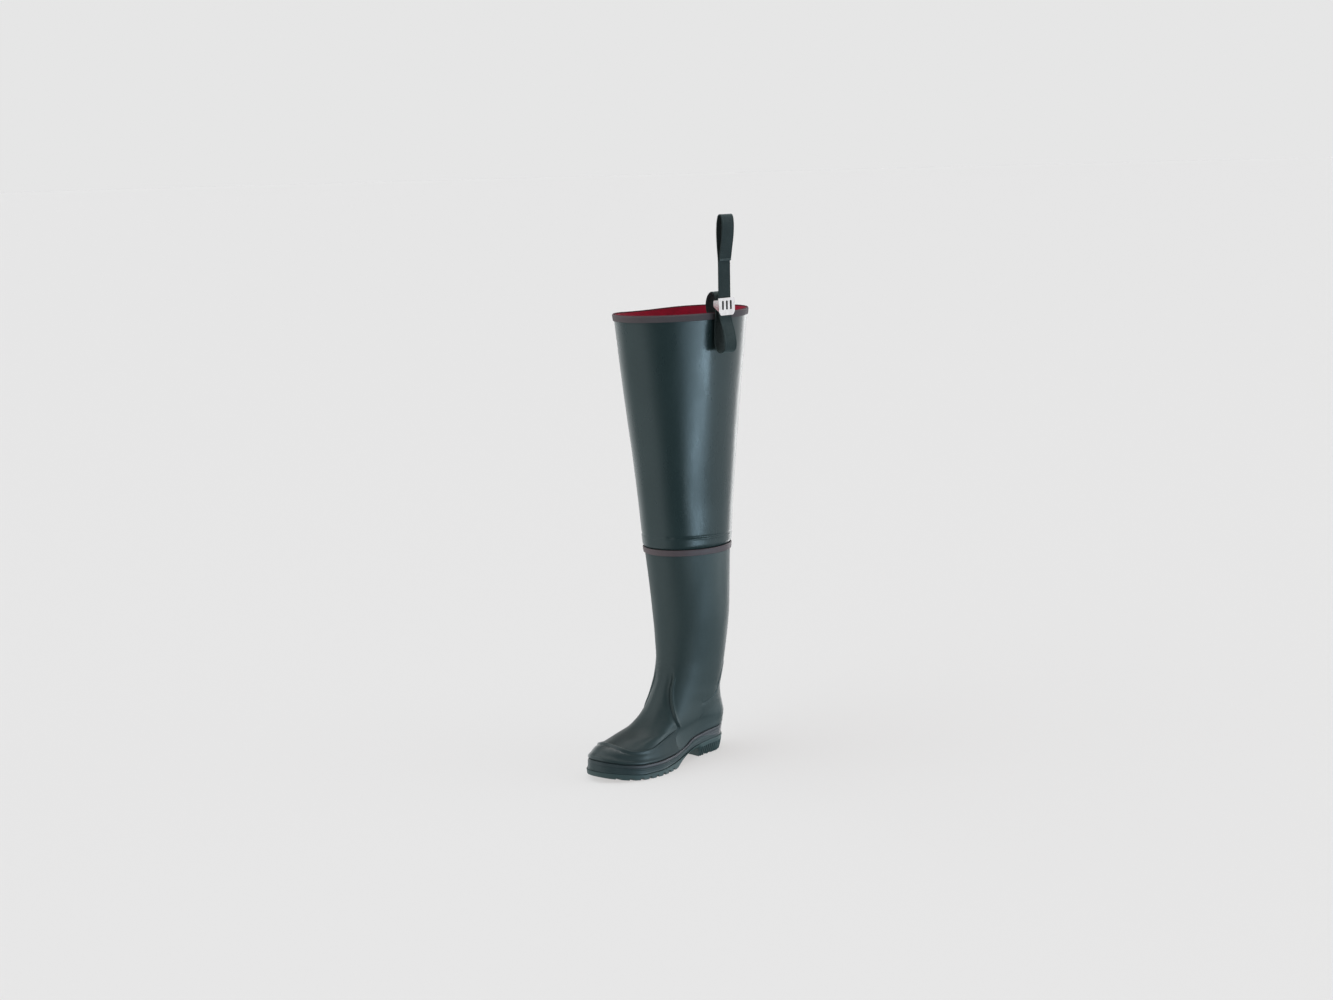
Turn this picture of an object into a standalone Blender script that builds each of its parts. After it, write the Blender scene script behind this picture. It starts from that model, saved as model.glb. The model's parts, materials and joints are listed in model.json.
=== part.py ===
"""Thigh-high rubber wader boot for the left foot, standing empty on its sole.

The last is described in millimetres by f (forward from the back of the heel), o (outward, away from the
other leg) and z (up from the floor). In the finished model the outer side faces +X and the toe faces -Y.
"""

import math

import bmesh
import bpy
import numpy as np
from mathutils import Matrix

NAME = "thigh_wader_boot"

# ---------------------------------------------------------------- driving sizes, millimetres
MM = 0.001
SOLE_LENGTH = 302.0
BOOT_WALL = 2.6          # moulded rubber of the boot
LEG_WALL = 1.8           # rubber-coated leg with its lining
GAP = 0.35               # clearance between neighbouring pieces
COLUMNS = 36             # points round every ring
FRAME_F = 119.9          # the model's origin on the last: middle of the whole boot
FRAME_O = 12.6

FOXING_PROUD = 2.8
GUARD_PROUD = 1.2
OVERLAY_LIFT = 0.65      # inner face of the reinforcements above the upper, clear of its facets
COUNTER_PROUD = 1.2
KNEE_BAND_PROUD = 2.2
KNEE_BAND_ROWS = 0.20    # share of the top section that the band covers
INSOLE_THICK = 4.0

COLLAR_Z = 754.2
BINDING_HEIGHT = 9.8
BINDING_PROUD = 1.7

FOREFOOT_GROOVES, FOREFOOT_FIRST_F, FOREFOOT_PITCH = 8, 176.0, 15.0
HEEL_GROOVES, HEEL_FIRST_F, HEEL_PITCH = 5, 24.0, 12.5
FOREFOOT_GROOVE = 5.5    # width
HEEL_GROOVE = 4.0
FOREFOOT_DEPTH = 3.8
HEEL_DEPTH = 5.0
CHEVRON = 9.0            # how far each groove leans forward at its middle

STRAP_WIDTH = 28.0
STRAP_THICK = 1.8
STRAP_F = 76.2           # middle of the webbing along the foot
PLATE_O = 108.2          # middle of the buckle plate's thickness
PLATE_THICK = 1.5
PLATE_Z = (751.2, 779.2)
PLATE_WIDTH = 38.0
PLATE_CHAMFER = 6.0
SLOT_PITCH, SLOT_WIDTH, SLOT_Z = 9.4, 4.2, (760.2, 774.7)
EAR_THICK, EAR_O, EAR_Z = 1.5, 97.0, (760.2, 776.2)
BAR_O, BAR_RADIUS = 100.5, 1.5


def table(columns, *rows):
    """A short table: column name to its values, a row for each section."""
    return dict(zip(columns.split(), np.array(rows, float).T))


# Outline of the last seen from above, at fractions of its length: half widths to each side of a middle
# line that swings inward under the toes. Heel and toe end in round caps of these lengths.
HEEL_ROUND, TOE_ROUND = 0.15, 0.22
SWELL_F = (95.0, 170.0)
PLAN = table(
    "along outer inner swing",
    (0.00, 32.0, 32.5, 0.0),
    (0.12, 33.5, 33.5, 0.0),
    (0.25, 34.5, 33.5, 0.0),
    (0.42, 38.0, 31.5, 0.0),
    (0.56, 47.0, 39.0, 0.0),
    (0.68, 53.0, 46.0, -0.5),
    (0.78, 52.0, 47.5, -2.0),
    (0.90, 44.5, 42.5, -4.5),
    (1.00, 38.0, 37.0, -6.5),
)

# Side view of the bottom: feather line (where upper and sole meet), tread, and foxing's top edge.
BOTTOM = table(
    "along feather foxing",
    (0.00, 27.0, 46.0),
    (0.20, 26.0, 43.5),
    (0.34, 22.5, 39.5),
    (0.44, 15.0, 28.0),
    (0.54, 10.5, 24.0),
    (0.66, 8.5, 23.5),
    (0.78, 9.0, 24.5),
    (0.88, 12.5, 28.0),
    (0.95, 16.0, 33.0),
    (1.00, 19.0, 37.5),
)
TREAD = table(
    "along height",
    (0.000, 3.0),
    (0.030, 0.0),
    (0.285, 0.0),
    (0.298, 15.5),
    (0.380, 15.0),
    (0.430, 11.0),
    (0.490, 4.0),
    (0.530, 0.0),
    (0.700, 0.0),
    (0.850, 2.0),
    (0.950, 7.0),
    (1.000, 11.0),
)
# How far the sole's edge stands outside the last, at its top and at its tread.
EDGE = table(
    "along top tread",
    (0.00, 1.8, -4.5),
    (0.27, 3.4, -4.0),
    (0.45, 5.5, 3.5),
    (0.60, 6.0, 7.0),
    (1.00, 5.5, 5.5),
)

# Sections of the boot from the feather line (first) to the boot top (last). Each is a ring through a
# point at the back and a point at the front, with half widths to the outer and inner side. foot is the
# share of the last's own outline in that ring, the rest being an oval of that bluntness, and swell its fullness
# forward of the arch.
BOOT = table(
    "back_f back_z front_f front_z outer inner foot blunt swell",
    (13.0, 27.0, 296.0, 19.0, 52.0, 50.0, 1.00, 2.1, 1.00),
    (11.2, 36.0, 297.2, 29.0, 52.0, 50.0, 1.00, 2.1, 1.03),
    (9.2, 45.0, 293.8, 41.5, 51.0, 49.0, 1.00, 2.1, 0.99),
    (7.4, 53.5, 278.0, 52.0, 49.0, 46.8, 0.95, 2.1, 0.93),
    (6.2, 61.5, 246.5, 58.6, 47.0, 44.5, 0.85, 2.1, 0.88),
    (6.8, 71.0, 214.0, 66.2, 45.0, 43.5, 0.60, 2.1, 0.92),
    (8.8, 83.0, 187.3, 79.4, 43.4, 42.9, 0.35, 2.1, 1.00),
    (11.4, 96.7, 166.2, 98.5, 42.8, 43.5, 0.15, 2.1, 1.00),
    (12.7, 112.6, 150.5, 122.6, 43.8, 44.8, 0.00, 2.1, 1.00),
    (9.8, 132.9, 138.7, 149.9, 46.8, 46.8, 0.00, 2.1, 1.00),
    (4.8, 158.2, 133.0, 181.4, 50.4, 50.4, 0.00, 2.05, 1.00),
    (-0.8, 194.4, 133.0, 217.9, 55.2, 55.2, 0.00, 2.0, 1.00),
    (-6.4, 245.1, 135.8, 260.9, 60.0, 60.0, 0.00, 2.0, 1.00),
    (-8.8, 302.8, 141.6, 309.3, 62.4, 62.4, 0.00, 2.0, 1.00),
    (-12.4, 362.7, 149.6, 365.0, 63.8, 63.8, 0.00, 2.0, 1.00),
)
BOOT_ROWS = (0, 0.5, 1, 1.5, 2, 2.5, 3, 3.5, 4, 4.5, 5, 5.5, 6, 6.5, 7, 7.5, 8, 8.5, 9, 9.5, 10, 11, 12, 13, 13.6, 14)

# Level sections of the leg above the boot top.
LEG = table(
    "z back_f front_f half",
    (370.0, -14.8, 151.8, 66.2),
    (435.0, -20.0, 158.6, 69.4),
    (510.0, -28.8, 168.0, 74.6),
    (584.0, -37.8, 177.8, 79.8),
    (670.0, -49.0, 188.6, 85.2),
    (754.2, -60.5, 199.4, 90.3),
)
LEG_ROWS = (370.0, 379.0, 435.0, 495.0, 550.0, 610.0, 670.0, 715.0, 754.2)
LEG_TUCK_ROWS = (13.66, 13.83, 14.0)   # sections of the boot that the leg's foot end sits inside

# Side view of the two moulded reinforcements: upper edge of the toe guard and of the heel counter.
GUARD_EDGE = table(
    "f z",
    (139.0, 66.0),
    (167.0, 58.5),
    (193.0, 52.0),
    (215.0, 47.3),
    (235.0, 46.8),
    (250.0, 48.5),
    (261.0, 53.5),
    (268.0, 62.0),
    (310.0, 90.0),
)
COUNTER_EDGE = table(
    "f z",
    (-15.0, 90.5),
    (25.0, 88.5),
    (56.0, 85.8),
    (80.0, 81.0),
    (97.0, 70.0),
    (108.0, 55.0),
    (113.0, 41.0),
)

# The belt strap's middle line, outward and up: sewn inside the collar, over the rim, down the outside,
# round a slack loop, up behind the buckle plate and into the belt loop sewn back on itself.
STRAP = table(
    "o z",
    (83.5, 712.0),
    (83.8, 727.0),
    (81.4, 742.0),
    (77.0, 756.0),
    (75.5, 769.0),
    (79.0, 781.0),
    (86.5, 788.0),
    (93.6, 785.5),
    (97.2, 775.0),
    (96.6, 760.0),
    (95.0, 744.0),
    (93.6, 727.0),
    (93.2, 710.0),
    (95.4, 698.0),
    (101.0, 692.0),
    (108.0, 691.6),
    (113.8, 696.0),
    (115.6, 706.0),
    (113.4, 721.0),
    (109.2, 735.0),
    (105.9, 746.0),
    (104.5, 757.0),
    (103.9, 776.0),
    (104.2, 812.0),
    (104.4, 838.0),
    (103.0, 858.0),
    (102.2, 878.0),
    (103.0, 896.0),
    (105.6, 908.5),
    (109.4, 912.0),
    (113.2, 908.5),
    (114.8, 895.0),
    (113.2, 876.0),
    (109.8, 857.0),
    (107.2, 842.0),
    (107.0, 838.4),
)
STRAP_STEP = 5.5         # spacing of the points read along that line


# ---------------------------------------------------------------- curves and surfaces of the last
def smooth(xs, ys):
    """A curve through the points that never overshoots between them."""
    xs, ys = np.asarray(xs, float), np.asarray(ys, float)
    step = np.diff(xs)
    rise = np.diff(ys) / step
    slope = np.zeros_like(ys)
    for i in range(1, len(xs) - 1):
        if rise[i - 1] * rise[i] > 0:
            a, b = 2 * step[i] + step[i - 1], step[i] + 2 * step[i - 1]
            slope[i] = (a + b) / (a / rise[i - 1] + b / rise[i])
    slope[0], slope[-1] = rise[0], rise[-1]

    def curve(x):
        x = np.clip(np.asarray(x, float), xs[0], xs[-1])
        i = np.clip(np.searchsorted(xs, x, side="right") - 1, 0, len(xs) - 2)
        t = (x - xs[i]) / step[i]
        return (
            (1 + 2 * t) * (1 - t) ** 2 * ys[i]
            + t * (1 - t) ** 2 * step[i] * slope[i]
            + t * t * (3 - 2 * t) * ys[i + 1]
            + t * t * (t - 1) * step[i] * slope[i + 1]
        )

    return curve


def along(tab, column):
    return smooth(tab["along"] * SOLE_LENGTH, tab[column])


plan_outer, plan_inner, plan_swing = along(PLAN, "outer"), along(PLAN, "inner"), along(PLAN, "swing")
feather, foxing_top = along(BOTTOM, "feather"), along(BOTTOM, "foxing")
tread = along(TREAD, "height")
edge_top, edge_tread = along(EDGE, "top"), along(EDGE, "tread")
boot_column = {name: smooth(np.arange(len(col)), col) for name, col in BOOT.items()}
leg_column = {name: smooth(LEG["z"], col) for name, col in LEG.items() if name != "z"}
PHI = np.arange(COLUMNS) * 2 * math.pi / COLUMNS   # 0 front, a quarter turn outer side, half back


def foot_cap(u):
    """Rounds off heel (u = 0) and toe (u = 1) of an outline."""
    heel = np.clip(1 - u / HEEL_ROUND, 0, 1)
    toe = np.clip(1 - (1 - u) / TOE_ROUND, 0, 1)
    return np.sqrt(np.clip(1 - heel**2, 0, 1) * np.clip(1 - toe**2, 0, 1))


def boot_raw(t, phi):
    t, phi = np.broadcast_arrays(np.asarray(t, float), np.asarray(phi, float))
    c = {name: column(t) for name, column in boot_column.items()}
    u = (1 + np.cos(phi)) / 2
    f = c["back_f"] + (c["front_f"] - c["back_f"]) * u
    oval = np.clip(1 - np.abs(2 * u - 1) ** c["blunt"], 0, None) ** (1 / c["blunt"])
    cap = c["foot"] * foot_cap(u) + (1 - c["foot"]) * oval
    fore = np.clip((f - SWELL_F[0]) / (SWELL_F[1] - SWELL_F[0]), 0, 1)
    full = 1 + (c["swell"] - 1) * fore * fore * (3 - 2 * fore)
    outer = c["foot"] * plan_outer(f) * full + (1 - c["foot"]) * c["outer"]
    inner = c["foot"] * plan_inner(f) * full + (1 - c["foot"]) * c["inner"]
    o = c["foot"] * plan_swing(f) + np.where(np.sin(phi) >= 0, outer, -inner) * cap
    chord = feather(c["back_f"]) + (feather(c["front_f"]) - feather(c["back_f"])) * u
    z = c["back_z"] + (c["front_z"] - c["back_z"]) * u + c["foot"] * (feather(f) - chord)
    return np.stack([f, o, z], -1)


def leg_raw(z, phi):
    z, phi = np.broadcast_arrays(np.asarray(z, float), np.asarray(phi, float))
    low = np.clip(z, LEG["z"][0], LEG["z"][-1])
    c = {name: column(low) for name, column in leg_column.items()}
    f = c["back_f"] + (c["front_f"] - c["back_f"]) * (1 + np.cos(phi)) / 2
    return np.stack([f, c["half"] * np.sin(phi), z], -1)


def lifted(raw, row, phi, lift, row_step, row_range):
    """Points of a surface moved along its outward normal."""
    row, phi, lift = np.broadcast_arrays(np.asarray(row, float), np.asarray(phi, float), np.asarray(lift, float))
    up = raw(np.minimum(row + row_step, row_range[1]), phi) - raw(np.maximum(row - row_step, row_range[0]), phi)
    turn = raw(row, phi + 0.02) - raw(row, phi - 0.02)
    normal = np.cross(turn, up)
    normal /= np.linalg.norm(normal, axis=-1, keepdims=True)
    return raw(row, phi) + normal * lift[..., None]


def boot_point(t, phi, lift=0.0):
    return lifted(boot_raw, t, phi, lift, 0.05, (0, len(BOOT["foot"]) - 1))


def leg_point(z, phi, lift=0.0):
    point = lifted(leg_raw, np.minimum(z, COLLAR_Z), phi, lift, 2.0, (LEG["z"][0], COLLAR_Z))
    point[..., 2] += np.broadcast_to(np.maximum(z - COLLAR_Z, 0.0), point.shape[:-1])
    return point


def world(points):
    """Points of the last in the model's own frame, in metres."""
    p = np.asarray(points, float)
    return np.stack([p[..., 1] - FRAME_O, FRAME_F - p[..., 0], p[..., 2]], -1) * MM


# ---------------------------------------------------------------- building in the scene
for old in list(bpy.data.objects):
    bpy.data.objects.remove(old, do_unlink=True)

boot_collection = bpy.data.collections.new(NAME)
cutter_collection = bpy.data.collections.new("cutters")
bpy.context.scene.collection.children.link(boot_collection)
bpy.context.scene.collection.children.link(cutter_collection)
cutter_collection.hide_render = True


def material(name, colour, roughness, metallic=0.0):
    mat = bpy.data.materials.new(name)
    mat.use_nodes = True
    shader = mat.node_tree.nodes["Principled BSDF"]
    shader.inputs["Base Color"].default_value = (*colour, 1.0)
    shader.inputs["Roughness"].default_value = roughness
    shader.inputs["Metallic"].default_value = metallic
    return mat


BOOT_GREEN = material("boot_rubber_green", (0.022, 0.040, 0.042), 0.34)
GUARD_GREEN = material("guard_rubber_green", (0.020, 0.036, 0.038), 0.36)
COUNTER_GREEN = material("counter_rubber_green", (0.021, 0.038, 0.040), 0.36)
LEG_GREEN = material("leg_rubber_green", (0.024, 0.043, 0.046), 0.38)
FOXING_GREEN = material("foxing_rubber_green", (0.034, 0.046, 0.048), 0.45)
SOLE_GREEN = material("sole_rubber_green", (0.040, 0.055, 0.054), 0.60)
INSOLE_RED = material("insole_cloth_red", (0.36, 0.012, 0.030), 0.90)
KNEE_BROWN = material("knee_band_brown", (0.070, 0.055, 0.060), 0.50)
COLLAR_BROWN = material("collar_binding_brown", (0.085, 0.065, 0.072), 0.50)
WEBBING = material("webbing_green_black", (0.028, 0.042, 0.042), 0.85)
NICKEL = material("buckle_nickel", (0.78, 0.77, 0.76), 0.22, 1.0)


def add_mesh(name, bm, mat, collection=boot_collection):
    bmesh.ops.recalc_face_normals(bm, faces=bm.faces)
    mesh = bpy.data.meshes.new(name)
    bm.to_mesh(mesh)
    bm.free()
    mesh.shade_smooth()
    mesh.set_sharp_from_angle(angle=math.radians(40))
    obj = bpy.data.objects.new(name, mesh)
    if mat:
        mesh.materials.append(mat)
    if collection is cutter_collection:
        obj.hide_render = True
        obj.display_type = "WIRE"
    collection.objects.link(obj)
    return obj


def tube(name, rings, mat, wall, outward=False):
    """An open loft through rings, given its wall by a Solidify modifier."""
    bm = bmesh.new()
    rows = [[bm.verts.new(p) for p in world(ring)] for ring in rings]
    n = len(rows[0])
    for low, high in zip(rows, rows[1:]):
        for j in range(n):
            k = (j + 1) % n
            bm.faces.new((low[j], low[k], high[k], high[j]))
    mesh = bpy.data.meshes.new(name)
    bm.to_mesh(mesh)
    bm.free()
    mesh.shade_smooth()
    mesh.materials.append(mat)
    obj = bpy.data.objects.new(name, mesh)
    boot_collection.objects.link(obj)
    solid = obj.modifiers.new("wall", "SOLIDIFY")
    solid.thickness = wall * MM
    solid.offset = 1.0 if outward else -1.0
    solid.use_even_offset = True
    solid.use_rim = True
    return obj


def ring_band(name, loops, mat):
    """A closed band: a section whose corners each run once round the leg."""
    bm = bmesh.new()
    rows = [[bm.verts.new(p) for p in world(loop)] for loop in loops]
    n = len(rows[0])
    for a, b in zip(rows, rows[1:] + rows[:1]):
        for j in range(n):
            k = (j + 1) % n
            bm.faces.new((a[j], a[k], b[k], b[j]))
    return add_mesh(name, bm, mat)


def slab(name, top, side, bottom, mat):
    """A closed slab between two outlines whose points pair up across the foot.

    top and bottom are rings that start at the front and run by the outer side; side holds any rings between."""
    bm = bmesh.new()
    rings = [[bm.verts.new(p) for p in world(ring)] for ring in (top, *side, bottom)]
    n = len(rings[0])
    for a, b in zip(rings, rings[1:]):
        for j in range(n):
            k = (j + 1) % n
            bm.faces.new((a[j], b[j], b[k], a[k]))
    for ring, flip in ((rings[0], False), (rings[-1], True)):
        for j in range(n // 2):
            corners = [ring[j], ring[j + 1], ring[(n - j - 1) % n], ring[(n - j) % n]]
            face = list(dict.fromkeys(corners))
            bm.faces.new(face[::-1] if flip else face)
    return add_mesh(name, bm, mat)


def prism(name, outline, half_width, collection=cutter_collection, mat=None):
    """An outline in side view (f, z), carried across the foot."""
    bm = bmesh.new()
    near = [bm.verts.new(p) for p in world([(f, half_width, z) for f, z in outline])]
    face = bm.faces.new(near)
    grown = bmesh.ops.extrude_face_region(bm, geom=[face])
    moved = [g for g in grown["geom"] if isinstance(g, bmesh.types.BMVert)]
    bmesh.ops.translate(bm, verts=moved, vec=(-2 * half_width * MM, 0, 0))
    return add_mesh(name, bm, mat, collection)


def boolean(obj, cutter, operation):
    cut = obj.modifiers.new(operation.lower(), "BOOLEAN")
    cut.operation = operation
    cut.solver = "EXACT"
    cut.object = cutter


# ---------------------------------------------------------------- boot: hollow, open above and below
def boot_rings(rows, lift):
    return [boot_point(t, PHI, lift) for t in rows]


tube("boot_upper", boot_rings(BOOT_ROWS, 0.0), BOOT_GREEN, BOOT_WALL)

# ---------------------------------------------------------------- outsole: outline, arch, toe spring, heel, lugs
SOLE_BACK = (10.0, 13.5)     # back of the sole at its top edge and at its tread
SOLE_FRONT = (302.5, 300.5)
breaks = np.array([8.0, 14.0, 86.1, 90.0, 103.0, 116.0, 130.0, 146.0, 160.0, 211.5])
half_turn = np.arccos(np.clip(2 * breaks / SOLE_LENGTH - 1, -1, 1))
half_turn = np.unique(np.round(np.concatenate([np.linspace(0, math.pi, 27), half_turn]), 4))
half_turn = half_turn[np.concatenate([[True], np.diff(half_turn) > 0.012])]
half_turn[-1] = math.pi
SOLE_PHI = np.concatenate([half_turn, 2 * math.pi - half_turn[-2:0:-1]])


def sole_ring(level, height, margin):
    """An outline of the sole: level 0 is its top edge, 1 its tread."""
    u = (1 + np.cos(SOLE_PHI)) / 2
    station = SOLE_LENGTH * u
    back = SOLE_BACK[0] + (SOLE_BACK[1] - SOLE_BACK[0]) * level
    front = SOLE_FRONT[0] + (SOLE_FRONT[1] - SOLE_FRONT[0]) * level
    f = station + (back * (1 - u) ** 6 + (front - SOLE_LENGTH) * u**6)
    wide = np.where(np.sin(SOLE_PHI) >= 0, plan_outer(station) + margin(station), -plan_inner(station) - margin(station))
    return np.stack([f, plan_swing(station) + wide * foot_cap(u), height(station)], -1)


def sole_height(level):
    return lambda f: (feather(f) - GAP) * (1 - level) + tread(f) * level


def sole_margin(level):
    return lambda f: edge_top(f) * (1 - level) + edge_tread(f) * level


outsole = slab(
    "outsole",
    sole_ring(0.0, sole_height(0.0), sole_margin(0.0)),
    [sole_ring(0.45, sole_height(0.45), sole_margin(0.25))],
    sole_ring(1.0, sole_height(1.0), sole_margin(1.0)),
    SOLE_GREEN,
)


def grooves():
    """Leaning grooves between the lugs, open at both edges of the sole."""
    bm = bmesh.new()
    runs = [(FOREFOOT_FIRST_F + i * FOREFOOT_PITCH, FOREFOOT_GROOVE, FOREFOOT_DEPTH) for i in range(FOREFOOT_GROOVES)]
    runs += [(HEEL_FIRST_F + i * HEEL_PITCH, HEEL_GROOVE, HEEL_DEPTH) for i in range(HEEL_GROOVES)]
    for middle, width, depth in runs:
        reach = 75.0
        front = [(middle + width / 2 - CHEVRON, -reach), (middle + width / 2, 0.0), (middle + width / 2 - CHEVRON, reach)]
        rear = [(f - width, o) for f, o in reversed(front)]
        roof = float(tread(middle)) + depth
        verts = [bm.verts.new(p) for p in world([(f, o, roof) for f, o in front + rear])]
        face = bm.faces.new(verts)
        grown = bmesh.ops.extrude_face_region(bm, geom=[face])
        moved = [g for g in grown["geom"] if isinstance(g, bmesh.types.BMVert)]
        bmesh.ops.translate(bm, verts=moved, vec=(0, 0, -(roof + 10.0) * MM))
    return add_mesh("lug_grooves", bm, None, cutter_collection)


boolean(outsole, grooves(), "DIFFERENCE")

# ---------------------------------------------------------------- insole, lying on the outsole inside the upper
def insole_ring(rise):
    ring = boot_point(0.2, PHI, -(BOOT_WALL + 0.8))
    ring[:, 2] = feather(ring[:, 0]) + rise
    middle = (ring + ring[(-np.arange(COLUMNS)) % COLUMNS]) / 2     # points across the foot share f and z
    ring[:, 0], ring[:, 2] = middle[:, 0], middle[:, 2]
    return ring


slab("insole", insole_ring(INSOLE_THICK), [], insole_ring(0.25), INSOLE_RED)


# ---------------------------------------------------------------- foxing, toe guard and heel counter round the upper
def side_region(low, high, f_from, f_to, count):
    """A side-view outline between two height functions."""
    fs = np.linspace(f_from, f_to, count)
    return [(f, float(low(f))) for f in fs] + [(f, float(high(f))) for f in fs[::-1]]


guard_edge = smooth(GUARD_EDGE["f"], GUARD_EDGE["z"])
counter_edge = smooth(COUNTER_EDGE["f"], COUNTER_EDGE["z"])

foxing = tube("foxing", boot_rings((0.12, 0.5, 1, 1.5, 2, 2.5), GAP), FOXING_GREEN, FOXING_PROUD, outward=True)
boolean(foxing, prism("below_foxing_edge", side_region(lambda f: -30.0, foxing_top, -20, 320, 30), 90.0), "INTERSECT")

guard = tube("toe_guard", boot_rings((1, 1.5, 2, 2.5, 3, 3.5, 4, 4.5, 5, 5.5), OVERLAY_LIFT), GUARD_GREEN, GUARD_PROUD, outward=True)
boolean(
    guard,
    prism("guard_region", side_region(lambda f: foxing_top(f) + GAP, guard_edge, GUARD_EDGE["f"][0], 315.0, 26), 90.0),
    "INTERSECT",
)

counter = tube("heel_counter", boot_rings((1, 1.5, 2, 2.5, 3, 3.5, 4, 4.5, 5, 5.5, 6, 6.5, 7), OVERLAY_LIFT), COUNTER_GREEN, COUNTER_PROUD, outward=True)
boolean(
    counter,
    prism("counter_region", side_region(lambda f: foxing_top(f) + GAP, counter_edge, -15.0, 112.0, 20), 90.0),
    "INTERSECT",
)

# ---------------------------------------------------------------- leg, its foot end tucked inside the boot top
leg_rings = [boot_point(t, PHI, -(BOOT_WALL + GAP)) for t in LEG_TUCK_ROWS]
leg_rings += [leg_point(z, PHI) for z in LEG_ROWS]
tube("leg", leg_rings, LEG_GREEN, LEG_WALL)

# ---------------------------------------------------------------- bindings of the boot top and of the collar
boot_top = len(BOOT["foot"]) - 1
knee_section = (
    (KNEE_BAND_ROWS, GAP),
    (KNEE_BAND_ROWS, GAP + 0.6 * KNEE_BAND_PROUD),
    (0.85 * KNEE_BAND_ROWS, GAP + KNEE_BAND_PROUD),
    (0.15 * KNEE_BAND_ROWS, GAP + KNEE_BAND_PROUD),
    (0.0, GAP + 0.6 * KNEE_BAND_PROUD),
    (0.0, GAP),
)
ring_band("knee_band", [boot_point(boot_top - drop, PHI, lift) for drop, lift in knee_section], KNEE_BROWN)

inside = -(LEG_WALL + GAP)
collar_section = (
    (-BINDING_HEIGHT, GAP),
    (-BINDING_HEIGHT, GAP + 0.7 * BINDING_PROUD),
    (-BINDING_HEIGHT + 1.5, GAP + BINDING_PROUD),
    (-0.5, GAP + BINDING_PROUD),
    (GAP + 1.3, GAP + 0.4 * BINDING_PROUD),
    (GAP + 1.3, inside - 0.4 * BINDING_PROUD),
    (-0.5, inside - 0.8 * BINDING_PROUD),
    (-BINDING_HEIGHT + 2.0, inside - 0.8 * BINDING_PROUD),
    (-BINDING_HEIGHT + 2.0, inside),
    (GAP, inside),
    (GAP, GAP),
)
ring_band("collar_binding", [leg_point(COLLAR_Z + rise, PHI, lift) for rise, lift in collar_section], COLLAR_BROWN)


# ---------------------------------------------------------------- belt strap and its buckle
def spline(points, spacing):
    """Points at even steps along a smooth curve through the given ones."""
    p = np.asarray(points, float)
    p = np.vstack([2 * p[0] - p[1], p, 2 * p[-1] - p[-2]])
    fine = []
    for a, b, c, d in zip(p, p[1:], p[2:], p[3:]):
        s = np.linspace(0, 1, 12, endpoint=False)[:, None]
        fine.append(0.5 * (2 * b + (c - a) * s + (2 * a - 5 * b + 4 * c - d) * s**2 + (3 * b - a - 3 * c + d) * s**3))
    fine = np.vstack(fine + [p[-2:-1]])
    reach = np.concatenate([[0], np.cumsum(np.linalg.norm(np.diff(fine, axis=0), axis=1))])
    steps = np.linspace(0, reach[-1], int(round(reach[-1] / spacing)) + 1)
    return np.stack([np.interp(steps, reach, fine[:, k]) for k in range(2)], -1)


def side_curve(name, outlines, middle_f, depth, mat):
    """A flat outline (o, z) given thickness along the foot."""
    curve = bpy.data.curves.new(name, "CURVE")
    curve.dimensions = "2D"
    curve.fill_mode = "BOTH"
    curve.extrude = depth / 2 * MM
    for outline in outlines:
        line = curve.splines.new("POLY")
        line.points.add(len(outline) - 1)
        for point, (o, z) in zip(line.points, outline):
            point.co = ((o - FRAME_O) * MM, z * MM, 0, 1)
        line.use_cyclic_u = True
    curve.materials.append(mat)
    obj = bpy.data.objects.new(name, curve)
    obj.location = (0, (FRAME_F - middle_f) * MM, 0)
    obj.rotation_euler = (math.pi / 2, 0, 0)
    boot_collection.objects.link(obj)
    return obj


middle = spline(np.stack([STRAP["o"], STRAP["z"]], -1), STRAP_STEP)
run = np.gradient(middle, axis=0)
run /= np.linalg.norm(run, axis=1, keepdims=True)
across = np.stack([-run[:, 1], run[:, 0]], -1) * STRAP_THICK / 2
side_curve("belt_strap", [np.vstack([middle + across, (middle - across)[::-1]])], STRAP_F, STRAP_WIDTH, WEBBING)


def box(bm, low, high):
    """A box between two corners of the last's frame."""
    a, b = world([low, high])
    made = bmesh.ops.create_cube(bm, size=1.0)["verts"]
    bmesh.ops.scale(bm, verts=made, vec=np.abs(b - a))
    bmesh.ops.translate(bm, verts=made, vec=(a + b) / 2)


def cutter_box(name, low, high):
    bm = bmesh.new()
    box(bm, low, high)
    return add_mesh(name, bm, None, cutter_collection)


half = PLATE_WIDTH / 2
face_o = (PLATE_O - PLATE_THICK / 2, PLATE_O + PLATE_THICK / 2)
outline = [
    (STRAP_F - half, PLATE_Z[1]),
    (STRAP_F - half, PLATE_Z[0] + PLATE_CHAMFER),
    (STRAP_F - half + PLATE_CHAMFER * 0.7, PLATE_Z[0]),
    (STRAP_F + half - PLATE_CHAMFER * 0.7, PLATE_Z[0]),
    (STRAP_F + half, PLATE_Z[0] + PLATE_CHAMFER),
    (STRAP_F + half, PLATE_Z[1]),
]
bm = bmesh.new()
plate_face = bm.faces.new([bm.verts.new(p) for p in world([(f, face_o[0], z) for f, z in outline])])
grown = bmesh.ops.extrude_face_region(bm, geom=[plate_face])
bmesh.ops.translate(bm, verts=[g for g in grown["geom"] if isinstance(g, bmesh.types.BMVert)], vec=(PLATE_THICK * MM, 0, 0))
buckle = add_mesh("buckle", bm, NICKEL)
for i in (-1, 0, 1):
    at = STRAP_F + i * SLOT_PITCH
    slot = cutter_box(
        f"buckle_slot_{i + 2}",
        (at - SLOT_WIDTH / 2, face_o[0] - 2, SLOT_Z[0]),
        (at + SLOT_WIDTH / 2, face_o[1] + 2, SLOT_Z[1]),
    )
    boolean(buckle, slot, "DIFFERENCE")
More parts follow.
